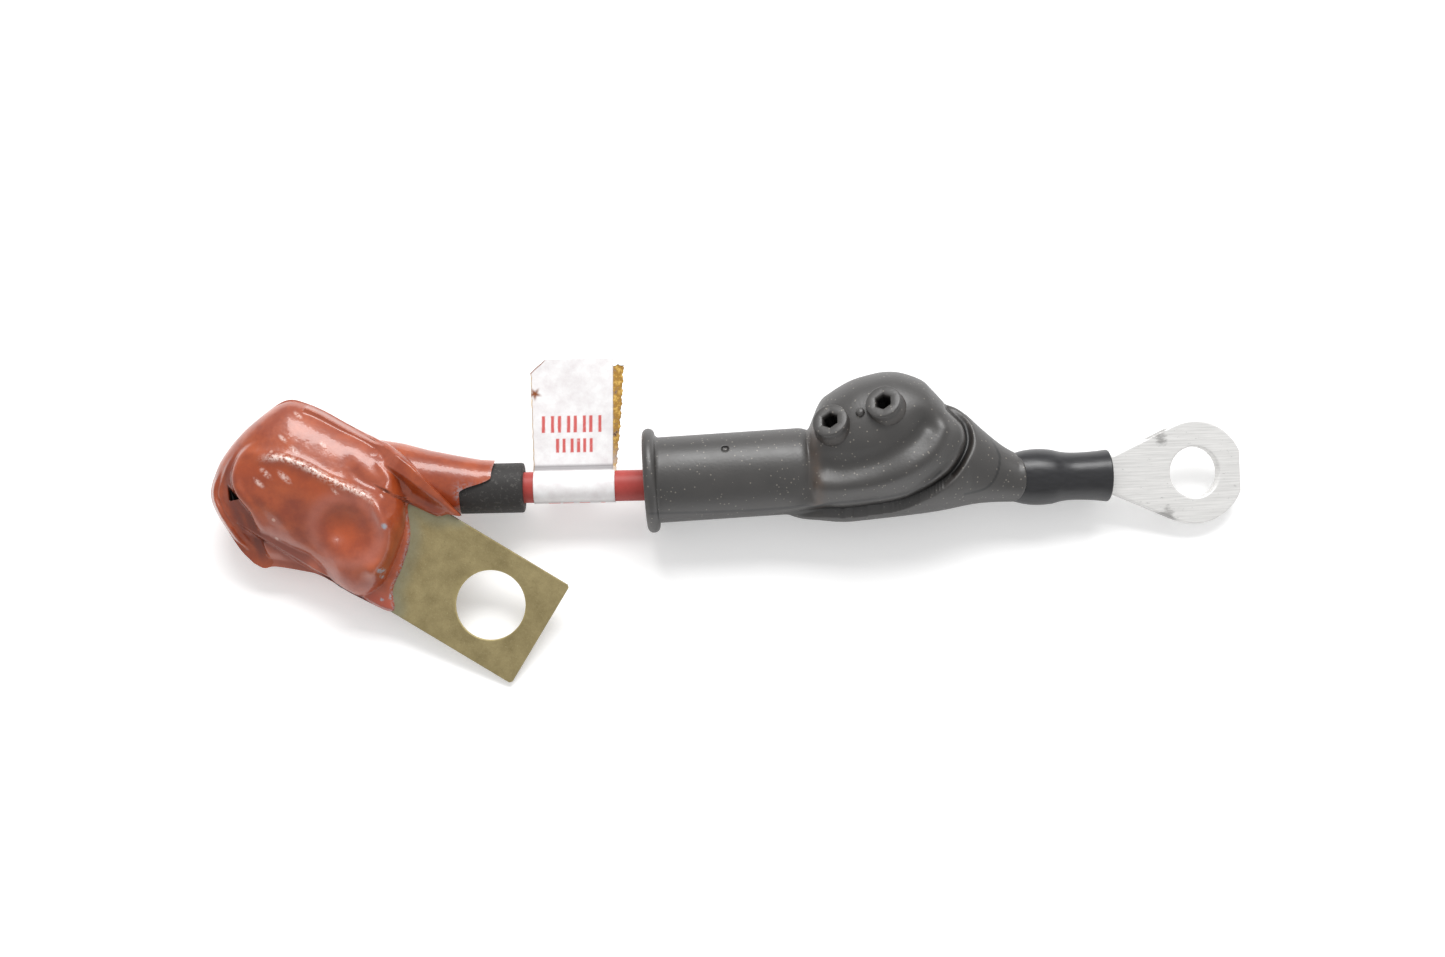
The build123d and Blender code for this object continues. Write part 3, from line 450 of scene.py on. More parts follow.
hood_high = smooth_line((
    (14.5, 7.0), (16.3, 11.6), (18.0, 15.6), (20.0, 17.4), (23.7, 19.6), (27.5, 20.8), (30.4, 21.3),
    (33.3, 21.1), (37.0, 19.8), (39.0, 18.0), (42.2, 14.6), (44.8, 12.4), (46.3, 10.2), (46.9, 8.6),
))
hood_low = smooth_line((
    (14.5, -3.0), (17.0, -5.2), (20.0, -5.1), (27.5, -4.0), (34.9, -3.0), (38.9, -1.5), (42.3, 0.6),
    (44.8, 3.7), (46.2, 6.8), (46.9, 8.4),
))
hood_deep = smooth_line((
    (14.5, 5.0), (17.0, 8.6), (20.0, 9.9), (24.0, 11.2), (29.6, 11.9), (34.0, 11.9), (38.0, 11.0),
    (42.0, 9.2), (44.8, 7.2), (46.3, 5.0), (46.9, 3.0),
))
scoop_high = smooth_line((
    (10.5, 3.0), (14.0, 8.0), (20.0, 11.0), (30.0, 14.0), (38.9, 15.4), (42.9, 14.8), (45.6, 13.3),
    (48.0, 11.2), (50.5, 9.1), (52.9, 7.3), (55.5, 5.8),
))
scoop_low = smooth_line((
    (10.5, -5.2), (14.2, -6.5), (18.0, -6.9), (21.8, -7.2), (25.6, -7.0), (38.9, -5.4), (46.7, -3.9),
    (50.5, -3.5), (53.9, -3.4), (56.0, -3.4),
))
scoop_deep = smooth_line((
    (10.5, 7.0), (20.0, 7.6), (27.5, 7.9), (35.0, 9.4), (38.9, 9.5), (42.0, 8.6), (44.8, 7.5), (46.7, 6.7),
    (50.5, 5.8), (55.5, 5.2),
))
boot_middle = smooth_line((
    (-17.0, 0.5), (12.0, 2.4), (18.0, 4.8), (25.0, 7.0), (34.0, 7.8), (40.0, 6.6), (46.0, 4.4), (50.0, 2.8),
    (58.0, 0.8),
))
fold_line = smooth_line((
    (9.0, -6.6), (12.5, -6.0), (18.5, -5.0), (22.2, -5.0), (27.5, -4.4), (33.0, -3.4), (37.0, -1.6),
    (40.0, 0.2), (42.6, 2.4), (44.6, 5.4), (45.6, 8.2), (45.2, 11.0), (44.0, 12.6), (42.2, 14.3),
))
roll_line = smooth_line((
    (18.0, -0.6), (20.7, -0.8), (26.0, -0.5), (30.9, 0.7), (35.6, 3.2), (38.9, 6.1), (40.8, 10.1),
))
hollow_line = smooth_line((
    (19.5, 3.6), (22.0, 3.4), (26.0, 4.1), (29.4, 5.1), (32.6, 6.7), (35.1, 8.4), (36.9, 10.6),
))
collar_line = smooth_line(((17.0, 10.0), (16.7, 7.0), (16.9, 3.0), (17.4, -1.0), (17.6, -4.4)))
seam_line = smooth_line((
    (-14.0, -5.5), (-5.0, -5.3), (5.0, -4.9), (12.0, -4.4), (15.0, -4.0), (16.6, -4.3), (20.0, -3.6),
    (27.0, -2.9), (34.0, -1.6), (37.6, 0.2), (40.0, 2.4),
))
cone_seam = smooth_line(((50.2, 8.8), (51.6, 5.6), (51.4, 3.0), (50.4, 0.6), (48.6, -1.0), (45.0, -1.9)))


def oval(v, w, high, low, mid_w, half_w, power):
    """Distance, near enough, outside a rounded-off rectangle: (|v|^p + |w|^p)^(1/p) against its half
    sizes."""
    mid_v, half_v = (high + low) / 2, (high - low) / 2
    ratio = (np.abs((v - mid_v) / half_v) ** power + np.abs((w - mid_w) / half_w) ** power) ** (1 / power)
    return (ratio - 1) * np.minimum(half_v, half_w)


def boot_gap(u, v, w):
    """How far a point lies outside the boot: the least distance from its tube, its hood and its scoop, the
    first two rounded into each other, with the fold, the hood's hollow and its lower roll as bells across
    their lines. The wells of the studs are sunk into it along the studs' axis."""
    tube = np.hypot(v - tube_v - tube_slope * u, w) - tube_radius + 0.12 * np.maximum(u - tube_end, 0) ** 2
    high, low = np.interp(u, *hood_high.T), np.interp(u, *hood_low.T)
    hood = oval(v, w, high, low, 0.0, np.interp(u, *hood_deep.T), 2.4)
    hood += far_off * (u > hood_high[-1, 0]) + 0.8 * np.maximum(hood_high[0, 0] + 1.6 - u, 0)
    front = ease(w, 1.0, 4.0)
    hood += front * hollow_depth * bump(line_distance(u, v, hollow_line), hollow_width)
    hood -= front * roll_height * bump(line_distance(u, v, roll_line), roll_width)
    hood = -blend_max(-tube, -hood, 1.6)
    high, low = np.interp(u, *scoop_high.T), np.interp(u, *scoop_low.T)
    scoop = oval(v, w, high, low, -1.7 * ease(u, 42.0, 56.0), np.interp(u, *scoop_deep.T), 2.0)
    scoop += far_off * (u < scoop_high[0, 0])
    gap = -blend_max(-hood, -scoop, 0.3)
    gap += front * fold_depth * bump(line_distance(u, v, fold_line), fold_width)
    for spot in stud_spots:
        from_stud = np.stack(np.broadcast_arrays(u, v, w), axis=-1) - np.array(spot)
        along = from_stud @ stud_axis
        aside = np.sqrt(np.maximum((from_stud**2).sum(axis=-1) - along**2, 0))
        gap += 3.2 * (1 - ease(aside, 1.7, 2.3)) * ease(along, -5.0, -4.0)
    return gap


def boot_reach(u, turn, outermost=17.0, innermost=2.0, step=0.5, halvings=8):
    """How far from the boot's middle line a ray at that turn leaves the rubber: rays are walked inwards from
    outside, and the crossing is closed in on by halving."""
    mid_v, mid_w = np.interp(u, *boot_middle.T), -1.8 * ease(u, 42.0, 57.0)
    side, out = np.cos(turn), np.sin(turn)
    reach = np.full(u.shape, innermost)
    found = np.zeros(u.shape, bool)
    for radius in np.arange(outermost, innermost, -step):
        inside = ~found & (boot_gap(u, mid_v + radius * side, mid_w + radius * out) < 0)
        reach[inside] = radius
        found |= inside
    low, high = reach, reach + step
    for _ in range(halvings):
        centre = (low + high) / 2
        inside = boot_gap(u, mid_v + centre * side, mid_w + centre * out) < 0
        low, high = np.where(inside, centre, low), np.where(inside, high, centre)
    return mid_v, mid_w, low


def tube_ring(u, radius, turn):
    """Rings of the tube about its slightly slanting axis, as (u, v, w)."""
    u = u - tube_slope * radius * np.cos(turn)
    return np.stack([u, tube_v + tube_slope * u + radius * np.cos(turn), radius * np.sin(turn)], axis=-1)


# Rows lie closer round the mould mark on the tube and over the hood. The grid runs from the bore out round
# the curl of the flange, along the skin to the mouth, over its lip and back inside.
turn = np.linspace(0, 2 * np.pi, boot_columns, endpoint=False)[None, :]
rows = np.concatenate([
    np.arange(tube_start + 2 * flange_half, -1.0, 0.8), np.arange(-1.0, 1.0, 0.12), np.arange(1.0, 10.0, 0.7),
    np.arange(10.0, mouth_u, 0.2), [mouth_u],
])[:, None]
u_boot = rows + 1.9 * np.sin(turn) * ease(rows, 45.0, mouth_u)
mid_v, mid_w, reach = boot_reach(u_boot, turn)
skin = np.stack([u_boot, mid_v + reach * np.cos(turn), mid_w + reach * np.sin(turn)], axis=-1)
skin[..., 2] -= dimple_depth * (1 - ease(np.linalg.norm(skin - dimple_spot, axis=-1), 0.5, 0.78))
bore_u = np.array([30.0, 12.0, 4.0, -4.0, -10.0, tube_start + 1.0])[:, None]
bore = tube_ring(bore_u, np.full(bore_u.shape, tube_bore), turn)
curl = np.linspace(-0.93 * np.pi, 0.55 * np.pi, 22)[:, None]
flange_u = tube_start + flange_half * (1 + np.sin(curl))
flange_reach = flange_radius - flange_half * (1 - np.cos(curl))
flange = tube_ring(flange_u, flange_reach, turn)
tip = skin[-1:]
inward = np.stack([0 * tip[..., 0], mid_v[-1:] - tip[..., 1], mid_w[-1:] - tip[..., 2]], axis=-1)
inward /= np.linalg.norm(inward, axis=-1, keepdims=True)
lip_turn = np.linspace(0.3, np.pi, 6)[:, None, None]
ahead = np.array([1.0, 0.0, 0.0])
lip = tip + mouth_wall / 2 * (inward * (1 - np.cos(lip_turn)) + ahead * np.sin(lip_turn))
tail = lip[-1:] - ahead * np.array([2.0, 8.0, 16.0])[:, None, None]
boot_grid = np.concatenate([bore, flange, skin, lip, tail])
u, v, w = np.moveaxis(boot_grid, -1, 0)
front = ease(w, 0.5, 3.0)
fold = line_distance(u, v, fold_line)
seam_and_well_shade = np.minimum(line_distance(u, v, seam_line), line_distance(u, v, cone_seam))
caked = np.maximum(bump(line_distance(u, v, collar_line), 1.1), 0.8 * bump(fold, 0.8) * ease(u, 34.0, 46.0))
# The fold mark paints shade near black along the deep fold; the seam mark is the mould's parting line, drawn
# dark.
boot_fields = {"dirt": front * caked, "seam_and_well_shade": front * (1 - ease(seam_and_well_shade, 0.14, 0.32)),
               "fold": front * (1 - ease(fold, 0.25, 1.1))}
boot_skins = [turned(lead_points(u, v, w), boot_fields, True)]

# Each stud is a short tube with a six-sided well. Its wall is (radius, height) from the middle of its face.
stud_wall = np.array([
    (1.5, -5.0), (1.5, -1.2), (1.6, -0.3), (1.75, -0.08), (1.95, 0.0), (3.1, 0.0), (3.3, -0.1), (3.4, -0.35),
    (3.4, -1.0), (3.5, -1.7), (3.75, -2.6), (3.9, -4.5),
])
nub_radius, nub_height = 0.85, 0.75
stud_axis /= np.linalg.norm(stud_axis)
stud_side = np.cross(stud_axis, ahead)
stud_side /= np.linalg.norm(stud_side)


def stud_ring(spot, turn, radius, height):
    """Rings about a stud's axis, in metres: radius and height in millimetres are measured from the middle
    of its face, across the axis and along it."""
    side, out = (radius * np.cos(turn))[..., None], (radius * np.sin(turn))[..., None]
    points = np.array(spot) + side * stud_side + out * np.cross(stud_side, stud_axis)
    return lead_points(*np.moveaxis(points + height[..., None] * stud_axis, -1, 0))


round_turn = np.linspace(0, 2 * np.pi, 96, endpoint=False)[None, :]
hexagon = np.cos(np.radians(30)) / np.cos(np.mod(round_turn, np.radians(60)) - np.radians(30))
radius, height = stud_wall[:, :1], stud_wall[:, 1:]
roundness = ease(radius, 1.75, 2.4)
# In the studs the seam mark paints shade near black down each well.
stud_fields = {"dirt": 0.25 * (1 - ease(np.abs(height + 2.2), 0.2, 1.2)),
               "seam_and_well_shade": ease(-height, 0.3, 1.0) * (radius < 1.7), "fold": 0.0}
for spot in stud_spots:
    stud = stud_ring(spot, round_turn, radius * (roundness + (1 - roundness) * hexagon), height)
    boot_skins.append((stud, stud_fields, True))
arch = np.linspace(0, 0.5 * np.pi, 8)[:, None]
nub_reach = nub_radius * np.cos(arch) ** 0.7 + 0.01
nub = stud_ring(nub_spot, round_turn, nub_reach, nub_height * np.sin(arch) + 0.1)
boot_skins.append((nub, {"dirt": 0.0, "seam_and_well_shade": 0.0, "fold": 0.0}, False))

# Moulded rubber is dull grey-black with a soft sheen in patches. Pale dust sits on it in specks, drawn a little
# coarser than real so that they show, and brown dirt cakes the hood's collar. Its mould seam is drawn dark, and
# painted shade lies near black in the deep fold and down the studs' wells.
rubber, tree, shader = new_material("moulded rubber", linear("434344"), 0.45, Specular_IOR_Level=0.95)
place = add_node(tree, "TexCoord", {}).outputs["Object"]
patch = add_node(tree, "TexNoise", {"Vector": place, "Scale": repeats(5.263), "Detail": 5.0, "Roughness": 0.6})
patch = patch.outputs[0]
speck = add_node(tree, "TexVoronoi", {"Vector": place, "Scale": repeats(0.7692)})
chance = add_node(tree, "TexWhiteNoise", {"Vector": speck.outputs["Position"]}).outputs[0]
few = add_node(tree, "Math", {0: chance, 1: 0.62}, operation="GREATER_THAN").outputs[0]
small = add_node(tree, "Math", {0: speck.outputs["Distance"], 1: 0.20}, operation="LESS_THAN").outputs[0]
dust = add_node(tree, "Math", {0: few, 1: small}, operation="MULTIPLY").outputs[0]
dust = add_node(tree, "Math", {0: dust, 1: 0.4}, operation="MULTIPLY").outputs[0]
dirt, seam_and_well_shade, fold = (
    add_node(tree, "Attribute", {}, attribute_name=field).outputs["Fac"] for field in ("dirt", "seam_and_well_shade", "fold")
)
crumb = add_node(tree, "TexNoise", {"Vector": place, "Scale": repeats(1.111), "Detail": 4.0}).outputs[0]
dirty = add_node(tree, "Math", {0: dirt, 1: crumb}, operation="MULTIPLY").outputs[0]
# Near black: the seam line, with painted shade in the fold and down the studs' wells.
dark = add_node(tree, "Math", {0: seam_and_well_shade, 1: fold}, operation="MAXIMUM").outputs[0]
tone = add_node(tree, "Mix", {0: patch, 6: linear("2B2A29"), 7: linear("3E3B39")}, data_type="RGBA").outputs[2]
for amount, color in ((dust, "A39B90"), (dirty, "4E3A2A"), (dark, "080707")):
    tone = add_node(tree, "Mix", {0: amount, 6: tone, 7: linear(color)}, data_type="RGBA").outputs[2]
tree.links.new(tone, shader.inputs["Base Color"])
grain = add_node(tree, "TexNoise", {"Vector": place, "Scale": repeats(0.5882), "Detail": 3.0}).outputs[0]
pebbled = add_node(tree, "Bump", {"Height": grain, "Strength": 0.25, "Distance": 0.12 * millimetre})
tree.links.new(pebbled.outputs[0], shader.inputs["Normal"])
rough = add_node(tree, "MapRange", {"Value": patch, 3: 0.36, 4: 0.56})
tree.links.new(rough.outputs[0], shader.inputs["Roughness"])
make_piece("rubber_boot", boot_skins, rubber)


# Sleeves: heat-shrink over the ring's crimp, bulged where it runs into the boot, and a short rubber tube
# where the wire leaves the coat. Both are black and grip the wire, so each is turned about the wire's own
# axis.
wire_v, wire_slope, wire_w = 0.1, 0.02095, -1.0
wire_bend, wire_droop = 47.0, 0.0875
shrink_end, shrink_edge = 73.2, 0.3


def wire_ring(u, radius, turn):
    """Rings about the wire, in metres, square to it: level up to its bend, then drooping."""
    droop = wire_droop * ease(u, wire_bend - 2.0, wire_bend + 2.0)
    side, out = radius * np.cos(turn), radius * np.sin(turn)
    fall = wire_w - wire_droop * np.maximum(u - wire_bend, 0)
    return lead_points(u - wire_slope * side + droop * out, wire_v + wire_slope * u + side, fall + out)


turn = np.linspace(0, 2 * np.pi, 128, endpoint=False)[None, :]
shrink_shape = smooth_line((
    (51.0, 3.9), (54.6, 4.55), (57.0, 5.05), (59.5, 5.3), (62.0, 5.2), (64.0, 4.8), (66.0, 4.62), (69.0, 4.7),
    (72.0, 4.9), (73.2, 5.0),
))
rounding = np.linspace(0.2, np.pi / 2, 5)
edge_start = shrink_end - shrink_edge
u_rows = np.concatenate([np.linspace(51.0, edge_start, 90), edge_start + shrink_edge * np.sin(rounding)])
r_rows = np.interp(u_rows, *shrink_shape.T)
r_rows[-5:] -= shrink_edge * (1 - np.cos(rounding))
u_rows = np.concatenate([u_rows, [shrink_end, 73.1, 70.0, 60.0, 51.0]])[:, None]
r_rows = np.concatenate([r_rows, [4.2, 3.95, 3.9, 3.4, 3.2]])[:, None]
wrinkle = 0.09 * np.sin(2 * turn + 0.25 * u_rows) * between(u_rows, 54.0, 58.0, 71.0, 73.0)

# Heat-shrink is drawn tight over the barrel, so it shines in long soft streaks along the wire.
shrink, tree, shader = new_material("black heat-shrink", linear("242426"), 0.30, Specular_IOR_Level=0.5)
place = add_node(tree, "TexCoord", {}).outputs["Object"]
stretch = add_node(tree, "Mapping", {"Vector": place, "Scale": (0.25, 1.0, 1.0)}).outputs[0]
streak = add_node(tree, "TexNoise", {"Vector": stretch, "Scale": repeats(0.6667), "Detail": 4.0}).outputs[0]
tone = add_node(tree, "Mix", {0: streak, 6: linear("19191B"), 7: linear("313134")}, data_type="RGBA").outputs[2]
tree.links.new(tone, shader.inputs["Base Color"])
rough = add_node(tree, "MapRange", {"Value": streak, 3: 0.24, 4: 0.42})
tree.links.new(rough.outputs[0], shader.inputs["Roughness"])
streaked = add_node(tree, "Bump", {"Height": streak, "Strength": 0.25, "Distance": 0.1 * millimetre})
tree.links.new(streaked.outputs[0], shader.inputs["Normal"])
make_piece("terminal_sleeve", [turned(wire_ring(u_rows, r_rows + wrinkle, turn), {}, True)], shrink)

# The rubber tube at the coat is matt and grey with dust. Its wall is (u, radius) from its hidden end
# outwards.
tube_wall = np.array([
    (-51.4, 4.75), (-50.0, 4.75), (-44.0, 4.75), (-38.6, 4.75), (-38.35, 4.68), (-38.22, 4.5), (-38.2, 4.35),
    (-38.2, 3.1), (-38.3, 2.97), (-45.0, 2.95), (-51.4, 2.95),
])
tube_rubber, tree, shader = new_material("black rubber tube", linear("262626"), 0.62, Specular_IOR_Level=0.4)
place = add_node(tree, "TexCoord", {}).outputs["Object"]
speck = add_node(tree, "TexNoise", {"Vector": place, "Scale": repeats(0.7143), "Detail": 5.0, "Roughness": 0.7})
speck = speck.outputs[0]
dust = add_node(tree, "MapRange", {"Value": speck, 1: 0.55, 2: 0.78, 4: 0.45}).outputs[0]
tone = add_node(tree, "Mix", {0: dust, 6: linear("302E2D"), 7: linear("8A8782")}, data_type="RGBA").outputs[2]
tree.links.new(tone, shader.inputs["Base Color"])
dusty = add_node(tree, "Bump", {"Height": speck, "Strength": 0.35, "Distance": 0.12 * millimetre})
tree.links.new(dusty.outputs[0], shader.inputs["Normal"])
tube = wire_ring(tube_wall[:, :1], tube_wall[:, 1:], turn)
make_piece("fuse_sleeve", [turned(tube, {}, True)], tube_rubber)


# Flag label: one strip of white polyester film, printed red, wrapped round the wire and pressed to itself.
# The front layer is a flag with one cut corner; the back layer stands 2 mm out behind it, torn and stained
# gold-brown.
label_u, label_half, film = -28.6, 7.7, 0.2
wrap_radius, flag_foot, flag_top, flag_right = 3.15, 2.7, 24.35, 7.25
label_v = wire_v + wire_slope * label_u
bar_width, ink_edge = 0.62, 0.06
# Each row of print is (lowest y, highest y, width of a mark, the marks' middles), and each dash (start,
# stop).
mark_rows = (
    (10.3, 13.5, 2.35, (-5.1, -2.05, 0.95, 3.9)),
    (6.5, 9.2, 1.85, (-2.65, 0.1, 2.5)),
)
wrap_dashes = ((-5.0, -2.75), (-2.2, -0.2), (0.9, 2.9), (5.0, 5.8))
star_x, star_y = -7.6, 17.8


def printed(x, y):
    """Where ink lies: two upright bars at the edges of each mark, 1 inside and 0 outside."""
    ink = np.zeros(np.broadcast(x, y).shape)
    for low, high, width, centres in mark_rows:
        tall = between(y, low - ink_edge, low + ink_edge, high - ink_edge, high + ink_edge)
        for centre in centres:
            for side in (-1, 1):
                bar = np.abs(x - centre - side * (width - bar_width) / 2) - bar_width / 2
                ink = np.maximum(ink, tall * (1 - ease(bar, -ink_edge, ink_edge)))
    return ink


def film_skin(left, right, top, level, columns, rows):
    """A sheet of film standing up from the wire: its front face left to right, then its back face, row by
    row upwards. Returns the points and each one's place across and up from the middle of the wire. The
    sheet stands at its level, with long shallow waves and a lift over the wire."""
    run = np.concatenate([np.linspace(0, 1, columns), np.linspace(1, 0, columns)])[None, :]
    y = flag_foot + (flag_top - flag_foot) * np.linspace(0, 1, rows)[:, None]
    x = left(y) + (right(y) - left(y)) * run
    y = np.minimum(y + 0 * x, top(x))
    w = wire_w + level + 0.8 * (1 - ease(y, 2.9, 3.8))
    w += 0.10 * np.sin(0.32 * y + 0.35 * x) * ease(y, 4.0, 12.0)
    w = w - film * (np.arange(2 * columns) >= columns)
    return lead_points(label_u + x, label_v + y + wire_slope * x, w), x, y


def left_edge(y):
    """The flag's left edge leans out as it rises, with a faint wave."""
    return -label_half - 0.85 * y / flag_top + 0.03 * np.sin(3.1 * y)


def right_edge(y):
    """The flag's right edge is straight."""
    return flag_right + 0 * y


def flag_edge(x):
    """The flag's top edge, with the left corner cut off at a slope and the corner's end bitten by a step."""
    return flag_top - 0.9 * np.maximum(-6.2 - x, 0) - 0.5 * ease(-x, 5.6, 6.4) - 0.05 * np.sin(1.9 * x)


def hidden_edge(y):
    """The back layer's left edge is straight, behind the flag."""
    return -6.6 + 0 * y


def torn_edge(x):
    """The back layer's ragged top edge: two waves, each with its lower half folded up."""
    return flag_top - 1.1 - 0.35 * np.abs(np.sin(2.3 * x)) - 0.2 * np.abs(np.sin(7.9 * x + 1.0))


def torn_side(y):
    """The back layer's ragged right edge, furthest out near its top: a line with two waves on it."""
    out = np.interp(y, (2.7, 6.0, 10.0, 16.0, 22.8), (7.9, 8.1, 8.5, 8.95, 9.25))
    return out + 0.10 * np.sin(2.9 * y) + 0.07 * np.sin(7.3 * y + 1.0)


front, x, y = film_skin(left_edge, right_edge, flag_edge, 0.15, 110, 150)
star = np.hypot(x - star_x, y - star_y) * (1 + 0.28 * np.sin(5 * np.arctan2(y - star_y, x - star_x)))
corner_rust = 0.9 * (1 - ease(flag_edge(x) - y, 0.1, 0.45)) * ease(-x, 5.3, 6.3)
front_fields = {
    "ink": printed(x, y),
    "gold": 0.8 * (1 - ease(x - left_edge(y), 0.03, 0.28)),
    "rust": np.maximum(1 - ease(star, 0.25, 1.2), corner_rust),
    # Painted shade: a grey band in the crease where the film folds up off the wire.
    "film_shade": 0.9 * (1 - ease(np.abs(y - 3.6), 0.15, 0.9)),
}
back, x, y = film_skin(hidden_edge, torn_side, torn_edge, -0.10, 60, 110)
back_gold = ease(x, 6.9, 7.4) * (0.55 + 0.45 * ease(y, 3.0, 9.0))
back_fields = {"ink": 0.0, "gold": back_gold, "rust": 0.0, "film_shade": 0.0}
turn = np.linspace(0, 2 * np.pi, 240, endpoint=False)[None, :]
along = np.linspace(-label_half, label_half, 70)
u_rows = np.concatenate([along, along[::-1]])[:, None]
r_rows = np.repeat([wrap_radius, wrap_radius - film], along.size)[:, None]
x, up = u_rows + 0 * turn, wrap_radius * np.sin(turn) + 0 * u_rows
low_ink = np.zeros(x.shape)
for start, stop in wrap_dashes:
    dash = between(x, start - ink_edge, start + ink_edge, stop - ink_edge, stop + ink_edge)
    low_ink = np.maximum(low_ink, dash)
low_ink *= (np.cos(turn) < -0.2) * (1 - ease(up, 0.7, 1.1))
# Painted shade: a grey band on the wrap's lower side.
wrap_shade = 0.35 * (1 - ease(np.abs(up - 1.0), 0.2, 1.0)) * (np.cos(turn) < 0)
wrap_fields = {"ink": low_ink, "gold": 0.0, "rust": 0.0, "film_shade": wrap_shade}
wrap = wire_ring(label_u + u_rows, r_rows, turn)

# Polyester film is white and satin, mottled by handling, with worn red ink, gold-brown glue and rust stains, and
# grey shade painted in the crease over the wire and on the wrap's lower side.
polyester, tree, shader = new_material("white polyester film", linear("F4F2F2"), 0.38, Specular_IOR_Level=0.5)
place = add_node(tree, "TexCoord", {}).outputs["Object"]
mottle = add_node(tree, "TexNoise", {"Vector": place, "Scale": repeats(2.381), "Detail": 4.0, "Roughness": 0.65})
blot = add_node(tree, "TexNoise", {"Vector": place, "Scale": repeats(1.0526), "Detail": 5.0, "Roughness": 0.7})
share = add_node(tree, "MapRange", {"Value": mottle.outputs[0], 1: 0.35, 2: 0.7}).outputs[0]
tone = add_node(tree, "Mix", {0: share, 6: linear("FBFAFA"), 7: linear("EAE5E6")}, data_type="RGBA").outputs[2]
stains = (
    ("film_shade", "8E8A8C", (-0.4, 0.0, 0.0, 1.0)), ("gold", "A87C32", (0.28, 0.42, 0.0, 1.0)),
    ("gold", "DDB45C", (0.50, 0.60, 0.0, 1.0)), ("gold", "5E3C16", (0.42, 0.34, 0.0, 1.0)),
    ("rust", "8A4A1E", (0.20, 0.38, 0.0, 1.0)), ("ink", "D4453F", (0.28, 0.42, 0.55, 0.92)),
)
for field, color, limits in stains:
    reach = add_node(tree, "Attribute", {}, attribute_name=field).outputs["Fac"]
    uneven = {"Value": blot.outputs[0], **dict(zip((1, 2, 3, 4), limits))}
    uneven = add_node(tree, "MapRange", uneven).outputs[0]
    amount = add_node(tree, "Math", {0: reach, 1: uneven}, operation="MULTIPLY").outputs[0]
    tone = add_node(tree, "Mix", {0: amount, 6: tone, 7: linear(color)}, data_type="RGBA").outputs[2]
tree.links.new(tone, shader.inputs["Base Color"])
label_skins = [turned(wrap, wrap_fields, True), (front, front_fields, False), (back, back_fields, False)]
make_piece("flag_label", label_skins, polyester)


# Ring terminal: a lug of tinned copper tube whose eye end is flattened, punched and sheared to shape, and
# brushed along its length. It is one skin of rings, from the bore over the top, round the rim and back
# underneath.
ring_run, ring_radius, ring_bore, ring_facet, ring_half = 16.72, 9.9, 4.9, 9.1, 1.3
ring_rim = 0.32
tongue_half, tongue_yaw, tongue_droop = 3.55, np.radians(2.2), np.radians(7.0)
tongue_back = ring_run - 0.4
neck_spot = np.array([73.5, 1.64, -3.32])


def flat_skin(bore, reach, turn, low, high, rim, rows):
    """Rings between a round bore and an outline, as local (x, y, z): reach gives the outline's distance at
    each turn, and rim is the radius of the worn edges, each a quarter circle."""
    curve = np.linspace(0, 0.5 * np.pi, 5)[:, None]
    over = np.linspace(0, 1, rows)[1:-1, None]
    inner, outer = bore + rim * (1 - np.cos(curve)), reach - rim * (1 - np.cos(curve[::-1]))
    flat = bore + rim + (reach - 2 * rim - bore) * over
    radius = np.concatenate([inner + 0 * reach, flat, outer])
    top = high - rim * (1 - np.sin(np.concatenate([curve, 0 * over + 0.5 * np.pi, curve[::-1]])))
    radius = np.concatenate([radius, radius[::-1]])
    z = np.concatenate([top, low + high - top[::-1]])
    return radius * np.cos(turn), radius * np.sin(turn), z + 0 * radius


def polar_reach(outline, turn):
    """How far a closed outline lies from the origin at each turn, between its closely set points."""
    share = np.linspace(0, 1, 60, endpoint=False)[:, None]
    dense = np.vstack([a + (b - a) * share for a, b in zip(outline, np.roll(outline, -1, 0))])
    angle, distance = np.arctan2(dense[:, 1], dense[:, 0]), np.hypot(dense[:, 0], dense[:, 1])
    order = np.argsort(angle)
    return np.interp(turn, angle[order], distance[order], period=2 * np.pi)


yaw = np.array([np.cos(tongue_yaw), np.sin(tongue_yaw)])
tongue_x = np.array([*(yaw * np.cos(tongue_droop)), -np.sin(tongue_droop)])
tongue_z = np.array([*(yaw * np.sin(tongue_droop)), np.cos(tongue_droop)])
tongue_y = np.cross(tongue_z, tongue_x)
back_off = np.hypot(tongue_back, tongue_half)
tangent = np.pi - np.arctan2(tongue_half, tongue_back) - np.arccos(ring_radius / back_off)
arc = np.linspace(np.arccos(ring_facet / ring_radius), tangent, 90)
half_outline = np.stack([ring_radius * np.cos(arc), ring_radius * np.sin(arc)], axis=1)
half_outline = np.vstack([half_outline, [(-tongue_back, tongue_half), (-ring_run - 4.0, tongue_half)]])
outline = np.vstack([half_outline, half_outline[::-1] * (1, -1)])
round_part, tongue_part = np.linspace(-0.9, 0.9, 300) * np.pi, np.linspace(0.9, 1.1, 90)[1:-1] * np.pi
turn = np.concatenate([round_part, tongue_part])[None, :]
reach = polar_reach(outline, turn)
x, y, z = flat_skin(ring_bore, reach, turn, -ring_half, ring_half, ring_rim, 26)
lug = neck_spot + (x[..., None] + ring_run) * tongue_x + y[..., None] * tongue_y + z[..., None] * tongue_z
worn = np.maximum(bump(np.hypot(x + 6.5, y - 6.6), 2.2), bump(np.hypot(x + 5.5, y + 7.4), 2.0))
worn = worn + 0.5 * bump(reach - np.hypot(x, y), 0.3)
# The barrel's wall is (u, radius), shut inside the sleeve.
barrel = np.array([(55.6, 3.2), (55.6, 3.85), (68.4, 3.85), (68.5, 3.4), (68.5, 0.02), (55.6, 0.02)])
round_turn = np.linspace(0, 2 * np.pi, 64, endpoint=False)[None, :]
barrel = wire_ring(barrel[:, :1], barrel[:, 1:], round_turn)

